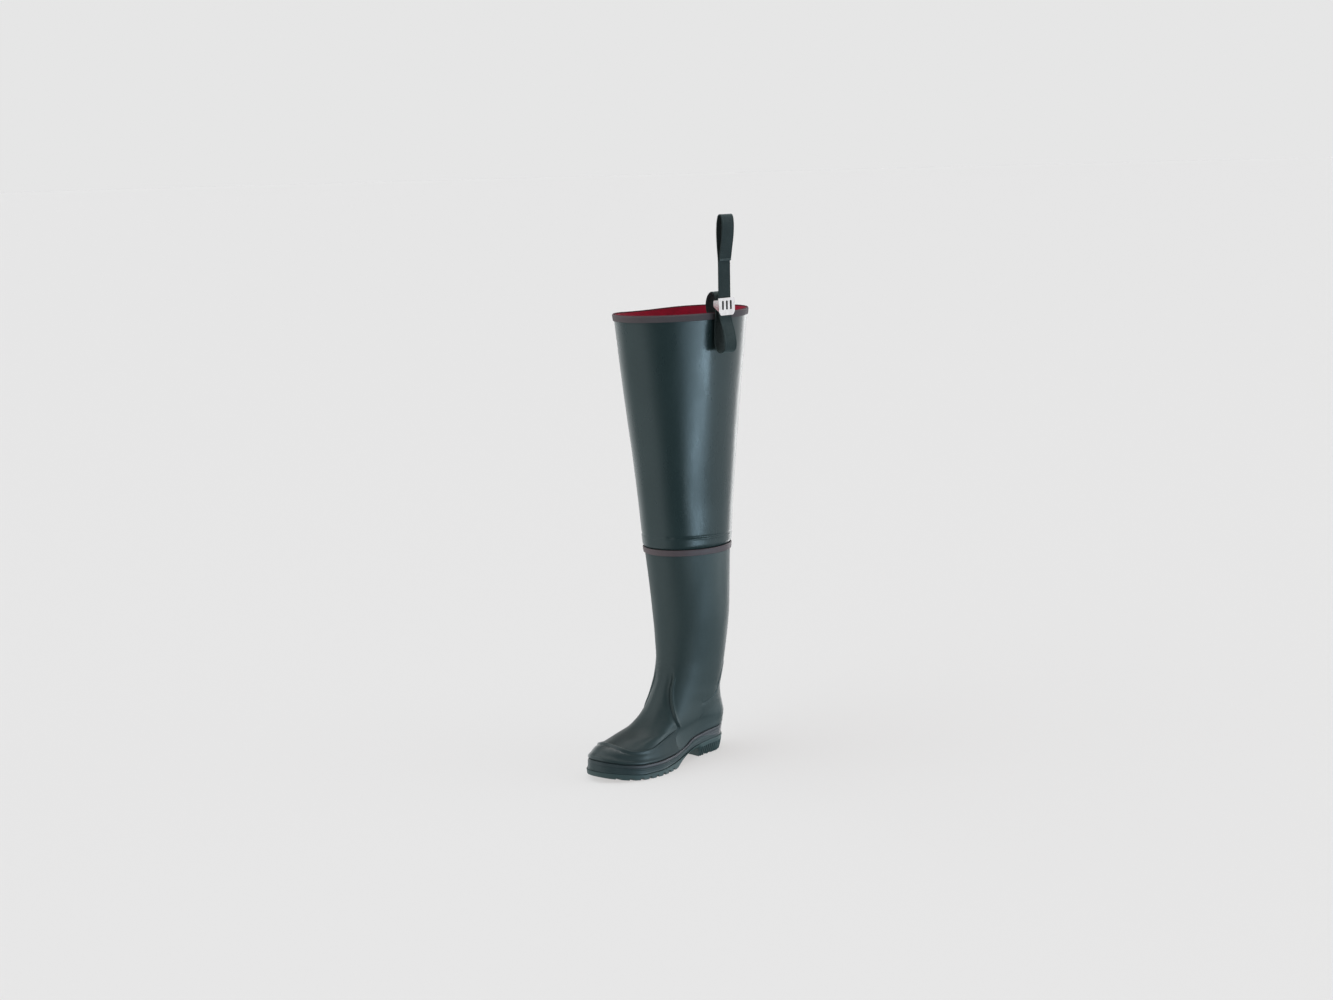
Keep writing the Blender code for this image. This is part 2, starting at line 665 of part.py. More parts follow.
for side in (-1, 1):
    ear_f = sorted((STRAP_F + side * half, STRAP_F + side * (half - EAR_THICK)))
    ear = cutter_box(f"buckle_ear_{side + 2}", (ear_f[0] - 0.001, EAR_O, EAR_Z[0]), (ear_f[1] + 0.001, PLATE_O, EAR_Z[1]))
    boolean(buckle, ear, "UNION")
bar_z = (EAR_Z[0] + EAR_Z[1]) / 2
bm = bmesh.new()
made = bmesh.ops.create_cone(bm, cap_ends=True, segments=10, radius1=BAR_RADIUS * MM, radius2=BAR_RADIUS * MM, depth=(PLATE_WIDTH - EAR_THICK) * MM)
bmesh.ops.rotate(bm, verts=bm.verts, cent=(0, 0, 0), matrix=Matrix.Rotation(math.pi / 2, 3, "X"))
bmesh.ops.translate(bm, verts=bm.verts, vec=world([(STRAP_F, BAR_O, bar_z)])[0])
boolean(buckle, add_mesh("buckle_bar", bm, None, cutter_collection), "UNION")
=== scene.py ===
"""Looks of a left thigh wader boot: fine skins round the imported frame, their materials, light and camera.

The last is described in millimetres by f (forward from the back of the heel), o (outward, away from the
other leg) and z (up from the floor), as in the frame. The outer side faces +X and the toe faces -Y.
"""

import json
import math

import bmesh
import bpy
import numpy as np
from mathutils import Matrix, Vector

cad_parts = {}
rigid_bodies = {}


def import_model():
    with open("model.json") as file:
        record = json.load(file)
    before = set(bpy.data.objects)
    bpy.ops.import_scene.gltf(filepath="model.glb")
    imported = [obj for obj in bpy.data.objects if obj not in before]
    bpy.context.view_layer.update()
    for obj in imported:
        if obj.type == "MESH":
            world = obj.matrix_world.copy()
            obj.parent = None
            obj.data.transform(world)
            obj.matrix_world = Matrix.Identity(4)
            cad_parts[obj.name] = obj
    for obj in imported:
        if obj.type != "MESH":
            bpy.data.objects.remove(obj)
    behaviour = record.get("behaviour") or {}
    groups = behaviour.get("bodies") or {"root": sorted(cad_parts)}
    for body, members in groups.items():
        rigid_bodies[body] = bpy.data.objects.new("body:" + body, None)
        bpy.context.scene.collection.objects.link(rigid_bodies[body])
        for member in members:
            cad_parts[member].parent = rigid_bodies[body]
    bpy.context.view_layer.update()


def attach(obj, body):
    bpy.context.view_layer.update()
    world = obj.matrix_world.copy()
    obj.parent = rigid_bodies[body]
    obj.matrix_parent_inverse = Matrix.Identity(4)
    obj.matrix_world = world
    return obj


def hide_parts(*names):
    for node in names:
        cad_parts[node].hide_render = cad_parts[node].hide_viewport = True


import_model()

# ---------------------------------------------------------------- sizes of the frame, millimetres
MM = 0.001
SOLE_LENGTH = 302.0
BOOT_WALL, LEG_WALL, GAP = 2.6, 1.8, 0.35
FRAME_F, FRAME_O = 119.9, 12.6
FOXING_PROUD = 2.8
OVERLAY_TOP = 1.85       # outer face of the toe guard and the heel counter above the upper
KNEE_BAND_PROUD, KNEE_BAND_ROWS = 2.2, 0.20
INSOLE_THICK = 4.0
COLLAR_Z, BINDING_HEIGHT, BINDING_PROUD = 754.2, 9.8, 1.7
FOREFOOT_GROOVES, FOREFOOT_FIRST_F, FOREFOOT_PITCH = 8, 176.0, 15.0
HEEL_GROOVES, HEEL_FIRST_F, HEEL_PITCH = 5, 24.0, 12.5
FOREFOOT_GROOVE, HEEL_GROOVE, FOREFOOT_DEPTH, HEEL_DEPTH = 5.5, 4.0, 3.8, 5.0
CHEVRON_LEAN = 0.12
SAG_PHI, SAG_WIDE, SAG_DEPTH = -1.55, 0.42, 3.6
RIB_PITCH, RIB_GROOVE, RIB_DEPTH = 5.6, 2.2, 1.9
STRAP_WIDTH, STRAP_THICK, STRAP_F = 28.0, 1.8, 76.2
PLATE_O, PLATE_THICK, PLATE_Z, PLATE_WIDTH, PLATE_CHAMFER = 108.2, 1.5, (751.2, 779.2), 38.0, 6.0
SLOT_PITCH, SLOT_WIDTH, SLOT_Z = 9.4, 4.2, (760.2, 774.7)
EAR_THICK, EAR_O, EAR_Z = 1.5, 97.0, (760.2, 776.2)
BAR_O, BAR_RADIUS = 100.5, 1.5


def table(columns, *rows):
    """A short table: column name to its values, a row for each section."""
    return dict(zip(columns.split(), np.array(rows, float).T))


HEEL_ROUND, TOE_ROUND = 0.15, 0.22
SWELL_F = (95.0, 170.0)
PLAN = table(
    "along outer inner swing",
    (0.00, 32.0, 32.5, 0.0),
    (0.12, 33.5, 33.5, 0.0),
    (0.25, 34.5, 33.5, 0.0),
    (0.42, 38.0, 31.5, 0.0),
    (0.56, 47.0, 39.0, 0.0),
    (0.68, 53.0, 46.0, -0.5),
    (0.78, 52.0, 47.5, -2.0),
    (0.90, 44.5, 42.5, -4.5),
    (1.00, 38.0, 37.0, -6.5),
)
BOTTOM = table(
    "along feather foxing",
    (0.00, 27.0, 46.0),
    (0.20, 26.0, 43.5),
    (0.34, 22.5, 39.5),
    (0.44, 15.0, 28.0),
    (0.54, 10.5, 24.0),
    (0.66, 8.5, 23.5),
    (0.78, 9.0, 24.5),
    (0.88, 12.5, 28.0),
    (0.95, 16.0, 33.0),
    (1.00, 19.0, 37.5),
)
TREAD = table(
    "along height",
    (0.000, 3.0),
    (0.030, 0.0),
    (0.285, 0.0),
    (0.298, 15.5),
    (0.380, 15.0),
    (0.430, 11.0),
    (0.490, 4.0),
    (0.530, 0.0),
    (0.700, 0.0),
    (0.850, 2.0),
    (0.950, 7.0),
    (1.000, 11.0),
)
EDGE = table(
    "along top tread",
    (0.00, 1.8, -4.5),
    (0.27, 3.4, -4.0),
    (0.45, 5.5, 3.5),
    (0.60, 6.0, 7.0),
    (1.00, 5.5, 5.5),
)
SOLE_BACK, SOLE_FRONT = (10.0, 13.5), (302.5, 300.5)
BOOT = table(
    "back_f back_z front_f front_z outer inner foot blunt swell",
    (13.0, 27.0, 296.0, 19.0, 52.0, 50.0, 1.00, 2.1, 1.00),
    (11.2, 36.0, 297.2, 29.0, 52.0, 50.0, 1.00, 2.1, 1.03),
    (9.2, 45.0, 293.8, 41.5, 51.0, 49.0, 1.00, 2.1, 0.99),
    (7.4, 53.5, 278.0, 52.0, 49.0, 46.8, 0.95, 2.1, 0.93),
    (6.2, 61.5, 246.5, 58.6, 47.0, 44.5, 0.85, 2.1, 0.88),
    (6.8, 71.0, 214.0, 66.2, 45.0, 43.5, 0.60, 2.1, 0.92),
    (8.8, 83.0, 187.3, 79.4, 43.4, 42.9, 0.35, 2.1, 1.00),
    (11.4, 96.7, 166.2, 98.5, 42.8, 43.5, 0.15, 2.1, 1.00),
    (12.7, 112.6, 150.5, 122.6, 43.8, 44.8, 0.00, 2.1, 1.00),
    (9.8, 132.9, 138.7, 149.9, 46.8, 46.8, 0.00, 2.1, 1.00),
    (4.8, 158.2, 133.0, 181.4, 50.4, 50.4, 0.00, 2.05, 1.00),
    (-0.8, 194.4, 133.0, 217.9, 55.2, 55.2, 0.00, 2.0, 1.00),
    (-6.4, 245.1, 135.8, 260.9, 60.0, 60.0, 0.00, 2.0, 1.00),
    (-8.8, 302.8, 141.6, 309.3, 62.4, 62.4, 0.00, 2.0, 1.00),
    (-12.4, 362.7, 149.6, 365.0, 63.8, 63.8, 0.00, 2.0, 1.00),
)
BOOT_TOP = 14
LEG = table(
    "z back_f front_f half",
    (370.0, -14.8, 151.8, 66.2),
    (435.0, -20.0, 158.6, 69.4),
    (510.0, -28.8, 168.0, 74.6),
    (584.0, -37.8, 177.8, 79.8),
    (670.0, -49.0, 188.6, 85.2),
    (754.2, -60.5, 199.4, 90.3),
)
GUARD_EDGE = table(
    "f z",
    (139.0, 66.0),
    (167.0, 58.5),
    (193.0, 52.0),
    (215.0, 47.3),
    (235.0, 46.8),
    (250.0, 48.5),
    (261.0, 53.5),
    (268.0, 62.0),
    (310.0, 90.0),
)
COUNTER_EDGE = table(
    "f z",
    (-15.0, 90.5),
    (25.0, 88.5),
    (56.0, 85.8),
    (80.0, 81.0),
    (97.0, 70.0),
    (108.0, 55.0),
    (113.0, 41.0),
)
STRAP = table(
    "o z",
    (83.5, 712.0),
    (83.8, 727.0),
    (81.4, 742.0),
    (77.0, 756.0),
    (75.5, 769.0),
    (79.0, 781.0),
    (86.5, 788.0),
    (93.6, 785.5),
    (97.2, 775.0),
    (96.6, 760.0),
    (95.0, 744.0),
    (93.6, 727.0),
    (93.2, 710.0),
    (95.4, 698.0),
    (101.0, 692.0),
    (108.0, 691.6),
    (113.8, 696.0),
    (115.6, 706.0),
    (113.4, 721.0),
    (109.2, 735.0),
    (105.9, 746.0),
    (104.5, 757.0),
    (103.9, 776.0),
    (104.2, 812.0),
    (104.4, 838.0),
    (103.0, 858.0),
    (102.2, 878.0),
    (103.0, 896.0),
    (105.6, 908.5),
    (109.4, 912.0),
    (113.2, 908.5),
    (114.8, 895.0),
    (113.2, 876.0),
    (109.8, 857.0),
    (107.2, 842.0),
    (107.0, 838.4),
)

# ---------------------------------------------------------------- looks listed on the boot's own surface
# Side edge of the vamp, where the quarter steps over it: section of the boot and angle from the front.
CREASE = table(
    "t phi",
    (4.60, 1.330),
    (4.95, 1.257),
    (6.25, 0.899),
    (7.14, 0.680),
    (7.92, 0.530),
    (8.29, 0.475),
    (8.76, 0.450),
    (9.15, 0.425),
    (9.60, 0.400),
)
# Short flex wrinkles across the front of the ankle: section, arc from the front, half length, half height, lift.
WRINKLES = table(
    "t arc long high lift",
    (9.62, 3.0, 15.0, 1.7, 1.1),
    (9.40, -2.0, 11.0, 1.4, 1.2),
    (9.17, -6.0, 9.0, 1.4, 1.1),
    (8.86, -8.0, 8.0, 1.6, 1.0),
)
# Soft ridges along the instep: arc from the front at the upper and lower end, first and last section, width, lift.
INSTEP_RIDGES = table(
    "arc_up arc_low t_up t_low wide lift",
    (-5.0, -5.5, 8.6, 6.7, 3.6, 0.7),
    (14.0, 23.0, 7.0, 5.7, 5.0, 0.9),
    (-17.0, -24.0, 7.0, 5.8, 5.5, 0.2),
)
# Edge of the moulded heel stay, in side view.
STAY_EDGE = table(
    "f z",
    (-20.0, 168.0),
    (18.0, 156.0),
    (34.7, 133.0),
    (46.0, 108.0),
    (58.0, 100.0),
    (75.0, 94.5),
    (100.0, 90.0),
)
# Small pinches along the glued seam above the knee band: angle from the front, half length, lift.
SEAM_PINCHES = table(
    "phi half lift",
    (0.01, 8.5, 0.7),
    (0.50, 5.0, -0.9),
    (0.82, 8.0, -1.4),
    (2.60, 7.0, -0.8),
    (3.90, 9.0, -0.9),
    (5.10, 6.0, 0.6),
)


# ---------------------------------------------------------------- curves and surfaces of the last
def smooth(xs, ys):
    """A curve through the points that never overshoots between them."""
    xs, ys = np.asarray(xs, float), np.asarray(ys, float)
    step = np.diff(xs)
    rise = np.diff(ys) / step
    slope = np.zeros_like(ys)
    for i in range(1, len(xs) - 1):
        if rise[i - 1] * rise[i] > 0:
            a, b = 2 * step[i] + step[i - 1], step[i] + 2 * step[i - 1]
            slope[i] = (a + b) / (a / rise[i - 1] + b / rise[i])
    slope[0], slope[-1] = rise[0], rise[-1]

    def curve(x):
        x = np.clip(np.asarray(x, float), xs[0], xs[-1])
        i = np.clip(np.searchsorted(xs, x, side="right") - 1, 0, len(xs) - 2)
        t = (x - xs[i]) / step[i]
        return (
            (1 + 2 * t) * (1 - t) ** 2 * ys[i]
            + t * (1 - t) ** 2 * step[i] * slope[i]
            + t * t * (3 - 2 * t) * ys[i + 1]
            + t * t * (t - 1) * step[i] * slope[i + 1]
        )

    return curve


def along(tab, column):
    return smooth(tab["along"] * SOLE_LENGTH, tab[column])


plan_outer, plan_inner, plan_swing = along(PLAN, "outer"), along(PLAN, "inner"), along(PLAN, "swing")
feather, foxing_top = along(BOTTOM, "feather"), along(BOTTOM, "foxing")
tread = along(TREAD, "height")
edge_top, edge_tread = along(EDGE, "top"), along(EDGE, "tread")
boot_column = {name: smooth(np.arange(len(col)), col) for name, col in BOOT.items()}
leg_column = {name: smooth(LEG["z"], col) for name, col in LEG.items() if name != "z"}
guard_edge = smooth(GUARD_EDGE["f"], GUARD_EDGE["z"])
counter_edge = smooth(COUNTER_EDGE["f"], COUNTER_EDGE["z"])
crease_phi = smooth(CREASE["t"], CREASE["phi"])
stay_edge = smooth(STAY_EDGE["f"], STAY_EDGE["z"])


def foot_cap(u):
    heel = np.clip(1 - u / HEEL_ROUND, 0, 1)
    toe = np.clip(1 - (1 - u) / TOE_ROUND, 0, 1)
    return np.sqrt(np.clip(1 - heel**2, 0, 1) * np.clip(1 - toe**2, 0, 1))


def boot_raw(t, phi):
    t, phi = np.broadcast_arrays(np.asarray(t, float), np.asarray(phi, float))
    c = {name: column(t) for name, column in boot_column.items()}
    u = (1 + np.cos(phi)) / 2
    f = c["back_f"] + (c["front_f"] - c["back_f"]) * u
    oval = np.clip(1 - np.abs(2 * u - 1) ** c["blunt"], 0, None) ** (1 / c["blunt"])
    cap = c["foot"] * foot_cap(u) + (1 - c["foot"]) * oval
    fore = np.clip((f - SWELL_F[0]) / (SWELL_F[1] - SWELL_F[0]), 0, 1)
    full = 1 + (c["swell"] - 1) * fore * fore * (3 - 2 * fore)
    outer = c["foot"] * plan_outer(f) * full + (1 - c["foot"]) * c["outer"]
    inner = c["foot"] * plan_inner(f) * full + (1 - c["foot"]) * c["inner"]
    o = c["foot"] * plan_swing(f) + np.where(np.sin(phi) >= 0, outer, -inner) * cap
    chord = feather(c["back_f"]) + (feather(c["front_f"]) - feather(c["back_f"])) * u
    z = c["back_z"] + (c["front_z"] - c["back_z"]) * u + c["foot"] * (feather(f) - chord)
    return np.stack([f, o, z], -1)


def leg_raw(z, phi):
    z, phi = np.broadcast_arrays(np.asarray(z, float), np.asarray(phi, float))
    low = np.clip(z, LEG["z"][0], LEG["z"][-1])
    c = {name: column(low) for name, column in leg_column.items()}
    f = c["back_f"] + (c["front_f"] - c["back_f"]) * (1 + np.cos(phi)) / 2
    return np.stack([f, c["half"] * np.sin(phi), z], -1)


def lifted(raw, row, phi, lift, row_step, row_range):
    row, phi, lift = np.broadcast_arrays(np.asarray(row, float), np.asarray(phi, float), np.asarray(lift, float))
    up = raw(np.minimum(row + row_step, row_range[1]), phi) - raw(np.maximum(row - row_step, row_range[0]), phi)
    turn = raw(row, phi + 0.02) - raw(row, phi - 0.02)
    normal = np.cross(turn, up)
    normal /= np.linalg.norm(normal, axis=-1, keepdims=True)
    return raw(row, phi) + normal * lift[..., None]


def boot_point(t, phi, lift=0.0):
    return lifted(boot_raw, t, phi, lift, 0.05, (0, BOOT_TOP))


def leg_point(z, phi, lift=0.0):
    z = np.asarray(z, float)
    point = lifted(leg_raw, np.minimum(z, COLLAR_Z), phi, lift, 2.0, (LEG["z"][0], COLLAR_Z))
    point[..., 2] += np.broadcast_to(np.maximum(z - COLLAR_Z, 0.0), point.shape[:-1])
    # the soft collar hangs a little lower at the front of its inner side
    turn = (np.asarray(phi, float) - SAG_PHI + math.pi) % (2 * math.pi) - math.pi
    point[..., 2] -= SAG_DEPTH * bump(turn / SAG_WIDE) * step((z - 600.0) / (COLLAR_Z - 600.0))
    return point


def world(points):
    p = np.asarray(points, float)
    return np.stack([p[..., 1] - FRAME_O, FRAME_F - p[..., 0], p[..., 2]], -1) * MM


def step(x):
    """0 below 0, 1 above 1, smooth between."""
    x = np.clip(x, 0.0, 1.0)
    return x * x * (3 - 2 * x)


def bump(x):
    return np.exp(-0.5 * np.asarray(x, float) ** 2)


def spread(*runs):
    """Joins runs of (first, last, count) into one list of values without repeats."""
    values = np.concatenate([np.linspace(a, b, n) for a, b, n in runs])
    values = np.unique(np.round(values, 5))
    return values[np.concatenate([[True], np.diff(values) > 1e-4])]


def solve(phi, edge, low, high):
    """The section at which the boot's surface meets a side-view edge, at each angle."""
    phi = np.asarray(phi, float)
    a, b = np.full_like(phi, low), np.full_like(phi, high)
    for _ in range(44):
        middle = (a + b) / 2
        p = boot_raw(middle, phi)
        above = p[..., 2] > edge(p[..., 0])
        b = np.where(above, middle, b)
        a = np.where(above, a, middle)
    return (a + b) / 2


# ---------------------------------------------------------------- pieces of mesh
def quads(rows, cols, wrap_rows, wrap_cols):
    a, b = np.meshgrid(
        np.arange(rows if wrap_rows else rows - 1), np.arange(cols if wrap_cols else cols - 1), indexing="ij"
    )
    a2, b2 = (a + 1) % rows, (b + 1) % cols
    return np.stack([a * cols + b, a * cols + b2, a2 * cols + b2, a2 * cols + b], -1).reshape(-1, 4)


def lengths(points, axis):
    """Running length along an axis of a grid of points."""
    step_length = np.linalg.norm(np.diff(points, axis=axis), axis=-1)
    start = np.zeros_like(np.take(step_length, [0], axis=axis))
    return np.concatenate([start, np.cumsum(step_length, axis=axis)], axis=axis)


def grid_uv(points, wrap_rows, wrap_cols):
    """Corner coordinates of a grid's faces in metres: across the grid and along it."""
    p = np.concatenate([points, points[:1]], 0) if wrap_rows else points
    p = np.concatenate([p, p[:, :1]], 1) if wrap_cols else p
    across = np.broadcast_to(lengths(p.mean(0, keepdims=True) if not wrap_cols else p[p.shape[0] // 2 :][:1], 1), p.shape[:2])
    runs = np.broadcast_to(lengths(p, 0).mean(1, keepdims=True), p.shape[:2])
    uv = np.stack([across, runs], -1) * MM
    return np.stack([uv[:-1, :-1], uv[:-1, 1:], uv[1:, 1:], uv[1:, :-1]], 2).reshape(-1, 2)


def make(name, points, faces, mats, node=None, uv=None, sharp=40, weld=False, face_mats=None):
    """A piece of mesh in the last's own millimetres, riding on the frame."""
    mesh = bpy.data.meshes.new(name)
    mesh.from_pydata(world(points.reshape(-1, 3)).tolist(), [], [list(face) for face in faces])
    if uv is not None:
        layer = mesh.uv_layers.new(name="surface")
        layer.data.foreach_set("uv", np.asarray(uv, np.float32).ravel())
    for mat in mats if isinstance(mats, (list, tuple)) else [mats]:
        mesh.materials.append(mat)
    if face_mats is not None:
        mesh.polygons.foreach_set("material_index", np.asarray(face_mats, np.int32))
    bm = bmesh.new()
    bm.from_mesh(mesh)
    if weld:
        bmesh.ops.remove_doubles(bm, verts=bm.verts, dist=2e-5)
        bmesh.ops.dissolve_degenerate(bm, edges=bm.edges, dist=1e-6)
    if bm.calc_volume(signed=True) < 0:
        bmesh.ops.reverse_faces(bm, faces=bm.faces)
    bm.to_mesh(mesh)
    bm.free()
    mesh.shade_smooth()
    mesh.set_sharp_from_angle(angle=math.radians(sharp))
    obj = bpy.data.objects.new(name, mesh)
    bpy.context.scene.collection.objects.link(obj)
    return carried(obj, node)


def carried(obj, node=None):
    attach(obj, "root")
    if node:
        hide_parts(node)
    return obj


def torus(name, points, mats, node=None, sharp=40, row_mats=None):
    """A closed skin: a section that runs once round, closed both ways."""
    rows, cols = points.shape[:2]
    face_mats = None if row_mats is None else np.repeat(row_mats, cols)
    return make(name, points, quads(rows, cols, True, True), mats, node, grid_uv(points, True, True), sharp, face_mats=face_mats)


def strip(name, points, mats, node=None, sharp=40, weld=False):
    """A closed section carried along an open run (rows), with its two ends filled."""
    rows, cols = points.shape[:2]
    faces = [list(q) for q in quads(rows, cols, False, True)]
    uv = grid_uv(points, False, True)
    ends = [list(range(cols))[::-1], [(rows - 1) * cols + j for j in range(cols)]]
    uv = np.concatenate([uv, np.zeros((2 * cols, 2))])
    return make(name, points, faces + ends, mats, node, uv, sharp, weld)


# ---------------------------------------------------------------- materials
class Look:
    """A Principled material and the nodes that feed it."""

    def __init__(self, name, **sockets):
        self.mat = bpy.data.materials.new(name)
        self.mat.use_nodes = True
        self.tree = self.mat.node_tree
        self.shader = self.tree.nodes["Principled BSDF"]
        for socket, value in sockets.items():
            self.shader.inputs[socket.replace("_", " ")].default_value = value

    def node(self, kind, inputs=(), **settings):
        made = self.tree.nodes.new(kind)
        for key, value in settings.items():
            setattr(made, key, value)
        for key, value in dict(inputs).items():
            if isinstance(value, bpy.types.NodeSocket):
                self.tree.links.new(value, made.inputs[key])
            else:
                made.inputs[key].default_value = value
        return made

    def place(self, scale=(1.0, 1.0, 1.0)):
        """Position on the object in metres, stretched by scale."""
        where = self.node("ShaderNodeTexCoord").outputs["Object"]
        return self.node("ShaderNodeMapping", {"Vector": where, "Scale": scale}).outputs["Vector"]

    def surface_uv(self, scale=(1.0, 1.0, 1.0)):
        where = self.node("ShaderNodeUVMap", uv_map="surface").outputs["UV"]
        return self.node("ShaderNodeMapping", {"Vector": where, "Scale": scale}).outputs["Vector"]

    def noise(self, vector, scale, detail=4.0, roughness=0.55):
        return self.node(
            "ShaderNodeTexNoise", {"Vector": vector, "Scale": scale, "Detail": detail, "Roughness": roughness}
        ).outputs["Fac"]

    def ramp(self, factor, *stops):
        """Factor to colour, through (position, colour) stops."""
        made = self.node("ShaderNodeValToRGB", {"Fac": factor})
        elements = made.color_ramp.elements
        while len(elements) < len(stops):
            elements.new(0.5)
        for element, (position, colour) in zip(elements, stops):
            element.position = position
            element.color = (*colour, 1.0)
        return made.outputs["Color"]

    def span(self, value, low, high, from_low=0.0, from_high=1.0):
        return self.node(
            "ShaderNodeMapRange",
            {"Value": value, "From Min": from_low, "From Max": from_high, "To Min": low, "To Max": high},
        ).outputs["Result"]

    def math(self, operation, a, b):
        return self.node("ShaderNodeMath", {0: a, 1: b}, operation=operation).outputs["Value"]

    def mix(self, factor, a, b, kind="MIX"):
        made = self.node("ShaderNodeMix", data_type="RGBA", blend_type=kind)
        factor_in = next(s for s in made.inputs if s.name == "Factor" and s.type == "VALUE")
        a_in = next(s for s in made.inputs if s.name == "A" and s.type == "RGBA")
        b_in = next(s for s in made.inputs if s.name == "B" and s.type == "RGBA")
        for socket, value in ((factor_in, factor), (a_in, a), (b_in, b)):
            if isinstance(value, bpy.types.NodeSocket):
                self.tree.links.new(value, socket)
            else:
                socket.default_value = (*value, 1.0) if isinstance(value, tuple) and len(value) == 3 else value
        return next(s for s in made.outputs if s.type == "RGBA")

    def feed(self, socket, value):
        self.tree.links.new(value, self.shader.inputs[socket])

    def relief(self, *layers):
        """Bump layers, each (height socket, strength, distance in metres)."""
        normal = None
        for height, strength, distance in layers:
            inputs = {"Height": height, "Strength": strength, "Distance": distance}
            if normal is not None:
                inputs["Normal"] = normal
            normal = self.node("ShaderNodeBump", inputs).outputs["Normal"]
        self.feed("Normal", normal)


def rubber(name, dark, light, rough, grain=0.10, dust=0.0, specular=0.5, lacquer=0.0, gloss_to=-0.070):
    """Moulded rubber: slight blotches, handling marks in the gloss, a fine skin, and dust towards the floor."""
    look = Look(name, Specular_IOR_Level=specular, Coat_Roughness=0.30)
    here = look.place()
    if lacquer:
        # glossier towards the toe, by the distance forward
        forward = look.node("ShaderNodeSeparateXYZ", {"Vector": here}).outputs["Y"]
        look.feed("Coat Weight", look.span(forward, lacquer, 0.0, gloss_to - 0.080, gloss_to))
    blotch = look.noise(here, 9.0, 5.0)
    fine = look.noise(here, 140.0, 3.0)
    factor = look.math("ADD", look.span(blotch, 0.0, 0.75, 0.30, 0.72), look.span(fine, 0.0, 0.25, 0.3, 0.7))
    colour = look.ramp(factor, (0.15, dark), (0.90, light))
    if dust:
        height = look.node("ShaderNodeSeparateXYZ", {"Vector": here}).outputs["Z"]
        low = look.span(height, dust, 0.0, 0.0, 0.055)
        patch = look.math("MULTIPLY", low, look.span(look.noise(here, 55.0, 5.0), 0.2, 1.0, 0.42, 0.70))
        colour = look.mix(patch, colour, (0.115, 0.118, 0.112))
    look.feed("Base Color", colour)
    smudge = look.noise(look.place((1.0, 1.0, 0.35)), 26.0, 5.0, 0.6)
    look.feed("Roughness", look.span(smudge, rough - 0.06, rough + 0.07, 0.3, 0.7))
    look.relief((look.noise(here, 620.0, 3.0), grain, 0.0003), (look.noise(here, 42.0, 3.0), 0.10, 0.0006))
    return look.mat


BOOT_RUBBER = rubber("boot_rubber", (0.0370, 0.0550, 0.0540), (0.0460, 0.0670, 0.0660), 0.50, dust=0.12, lacquer=0.20, gloss_to=0.010)
LEG_RUBBER = rubber("leg_rubber", (0.0360, 0.0550, 0.0545), (0.0450, 0.0670, 0.0665), 0.29, 0.22)
GUARD_RUBBER = rubber("guard_rubber", (0.0350, 0.0520, 0.0515), (0.0440, 0.0640, 0.0630), 0.47, dust=0.16, lacquer=0.7)
COUNTER_RUBBER = rubber("counter_rubber", (0.0370, 0.0550, 0.0540), (0.0460, 0.0670, 0.0660), 0.50, dust=0.14)
SOLE_RUBBER = rubber("sole_rubber", (0.0780, 0.1150, 0.1100), (0.1020, 0.1430, 0.1370), 0.55, 0.22, dust=0.45)
KNEE_RUBBER = rubber("knee_binding", (0.1620, 0.1110, 0.1140), (0.1920, 0.1370, 0.1410), 0.52, specular=0.35)
COLLAR_RUBBER = rubber("collar_binding_rubber", (0.1500, 0.1130, 0.1150), (0.1800, 0.1400, 0.1430), 0.68, specular=0.15)
COLLAR_INSIDE = rubber("collar_inside_rubber", (0.1000, 0.0380, 0.0460), (0.1300, 0.0500, 0.0600), 0.85, specular=0.05)


def foxing_look():
    """The foxing's rubber: a green strip, purple-brown along its upper edge and round the heel."""
    look = Look("foxing_rubber", Specular_IOR_Level=0.5)
    here = look.place()
    browned = look.node("ShaderNodeSeparateXYZ", {"Vector": look.node("ShaderNodeAttribute", attribute_name="browned").outputs["Vector"]}).outputs["X"]
    blotch = look.noise(here, 22.0, 4.0)
    green = look.ramp(blotch, (0.30, (0.0440, 0.0640, 0.0650)), (0.70, (0.0580, 0.0800, 0.0810)))
    brown = look.ramp(blotch, (0.30, (0.1020, 0.0870, 0.0950)), (0.70, (0.1260, 0.1090, 0.1180)))
    colour = look.mix(browned, green, brown)
    height = look.node("ShaderNodeSeparateXYZ", {"Vector": here}).outputs["Z"]
    patch = look.math("MULTIPLY", look.span(height, 0.35, 0.0, 0.0, 0.05), look.span(look.noise(here, 60.0, 5.0), 0.2, 1.0, 0.42, 0.70))
    look.feed("Base Color", look.mix(patch, colour, (0.115, 0.118, 0.112)))
    look.feed("Roughness", look.span(look.noise(here, 30.0, 4.0), 0.36, 0.50, 0.3, 0.7))
    look.relief((look.noise(here, 900.0, 2.0), 0.12, 0.00025))
    return look.mat


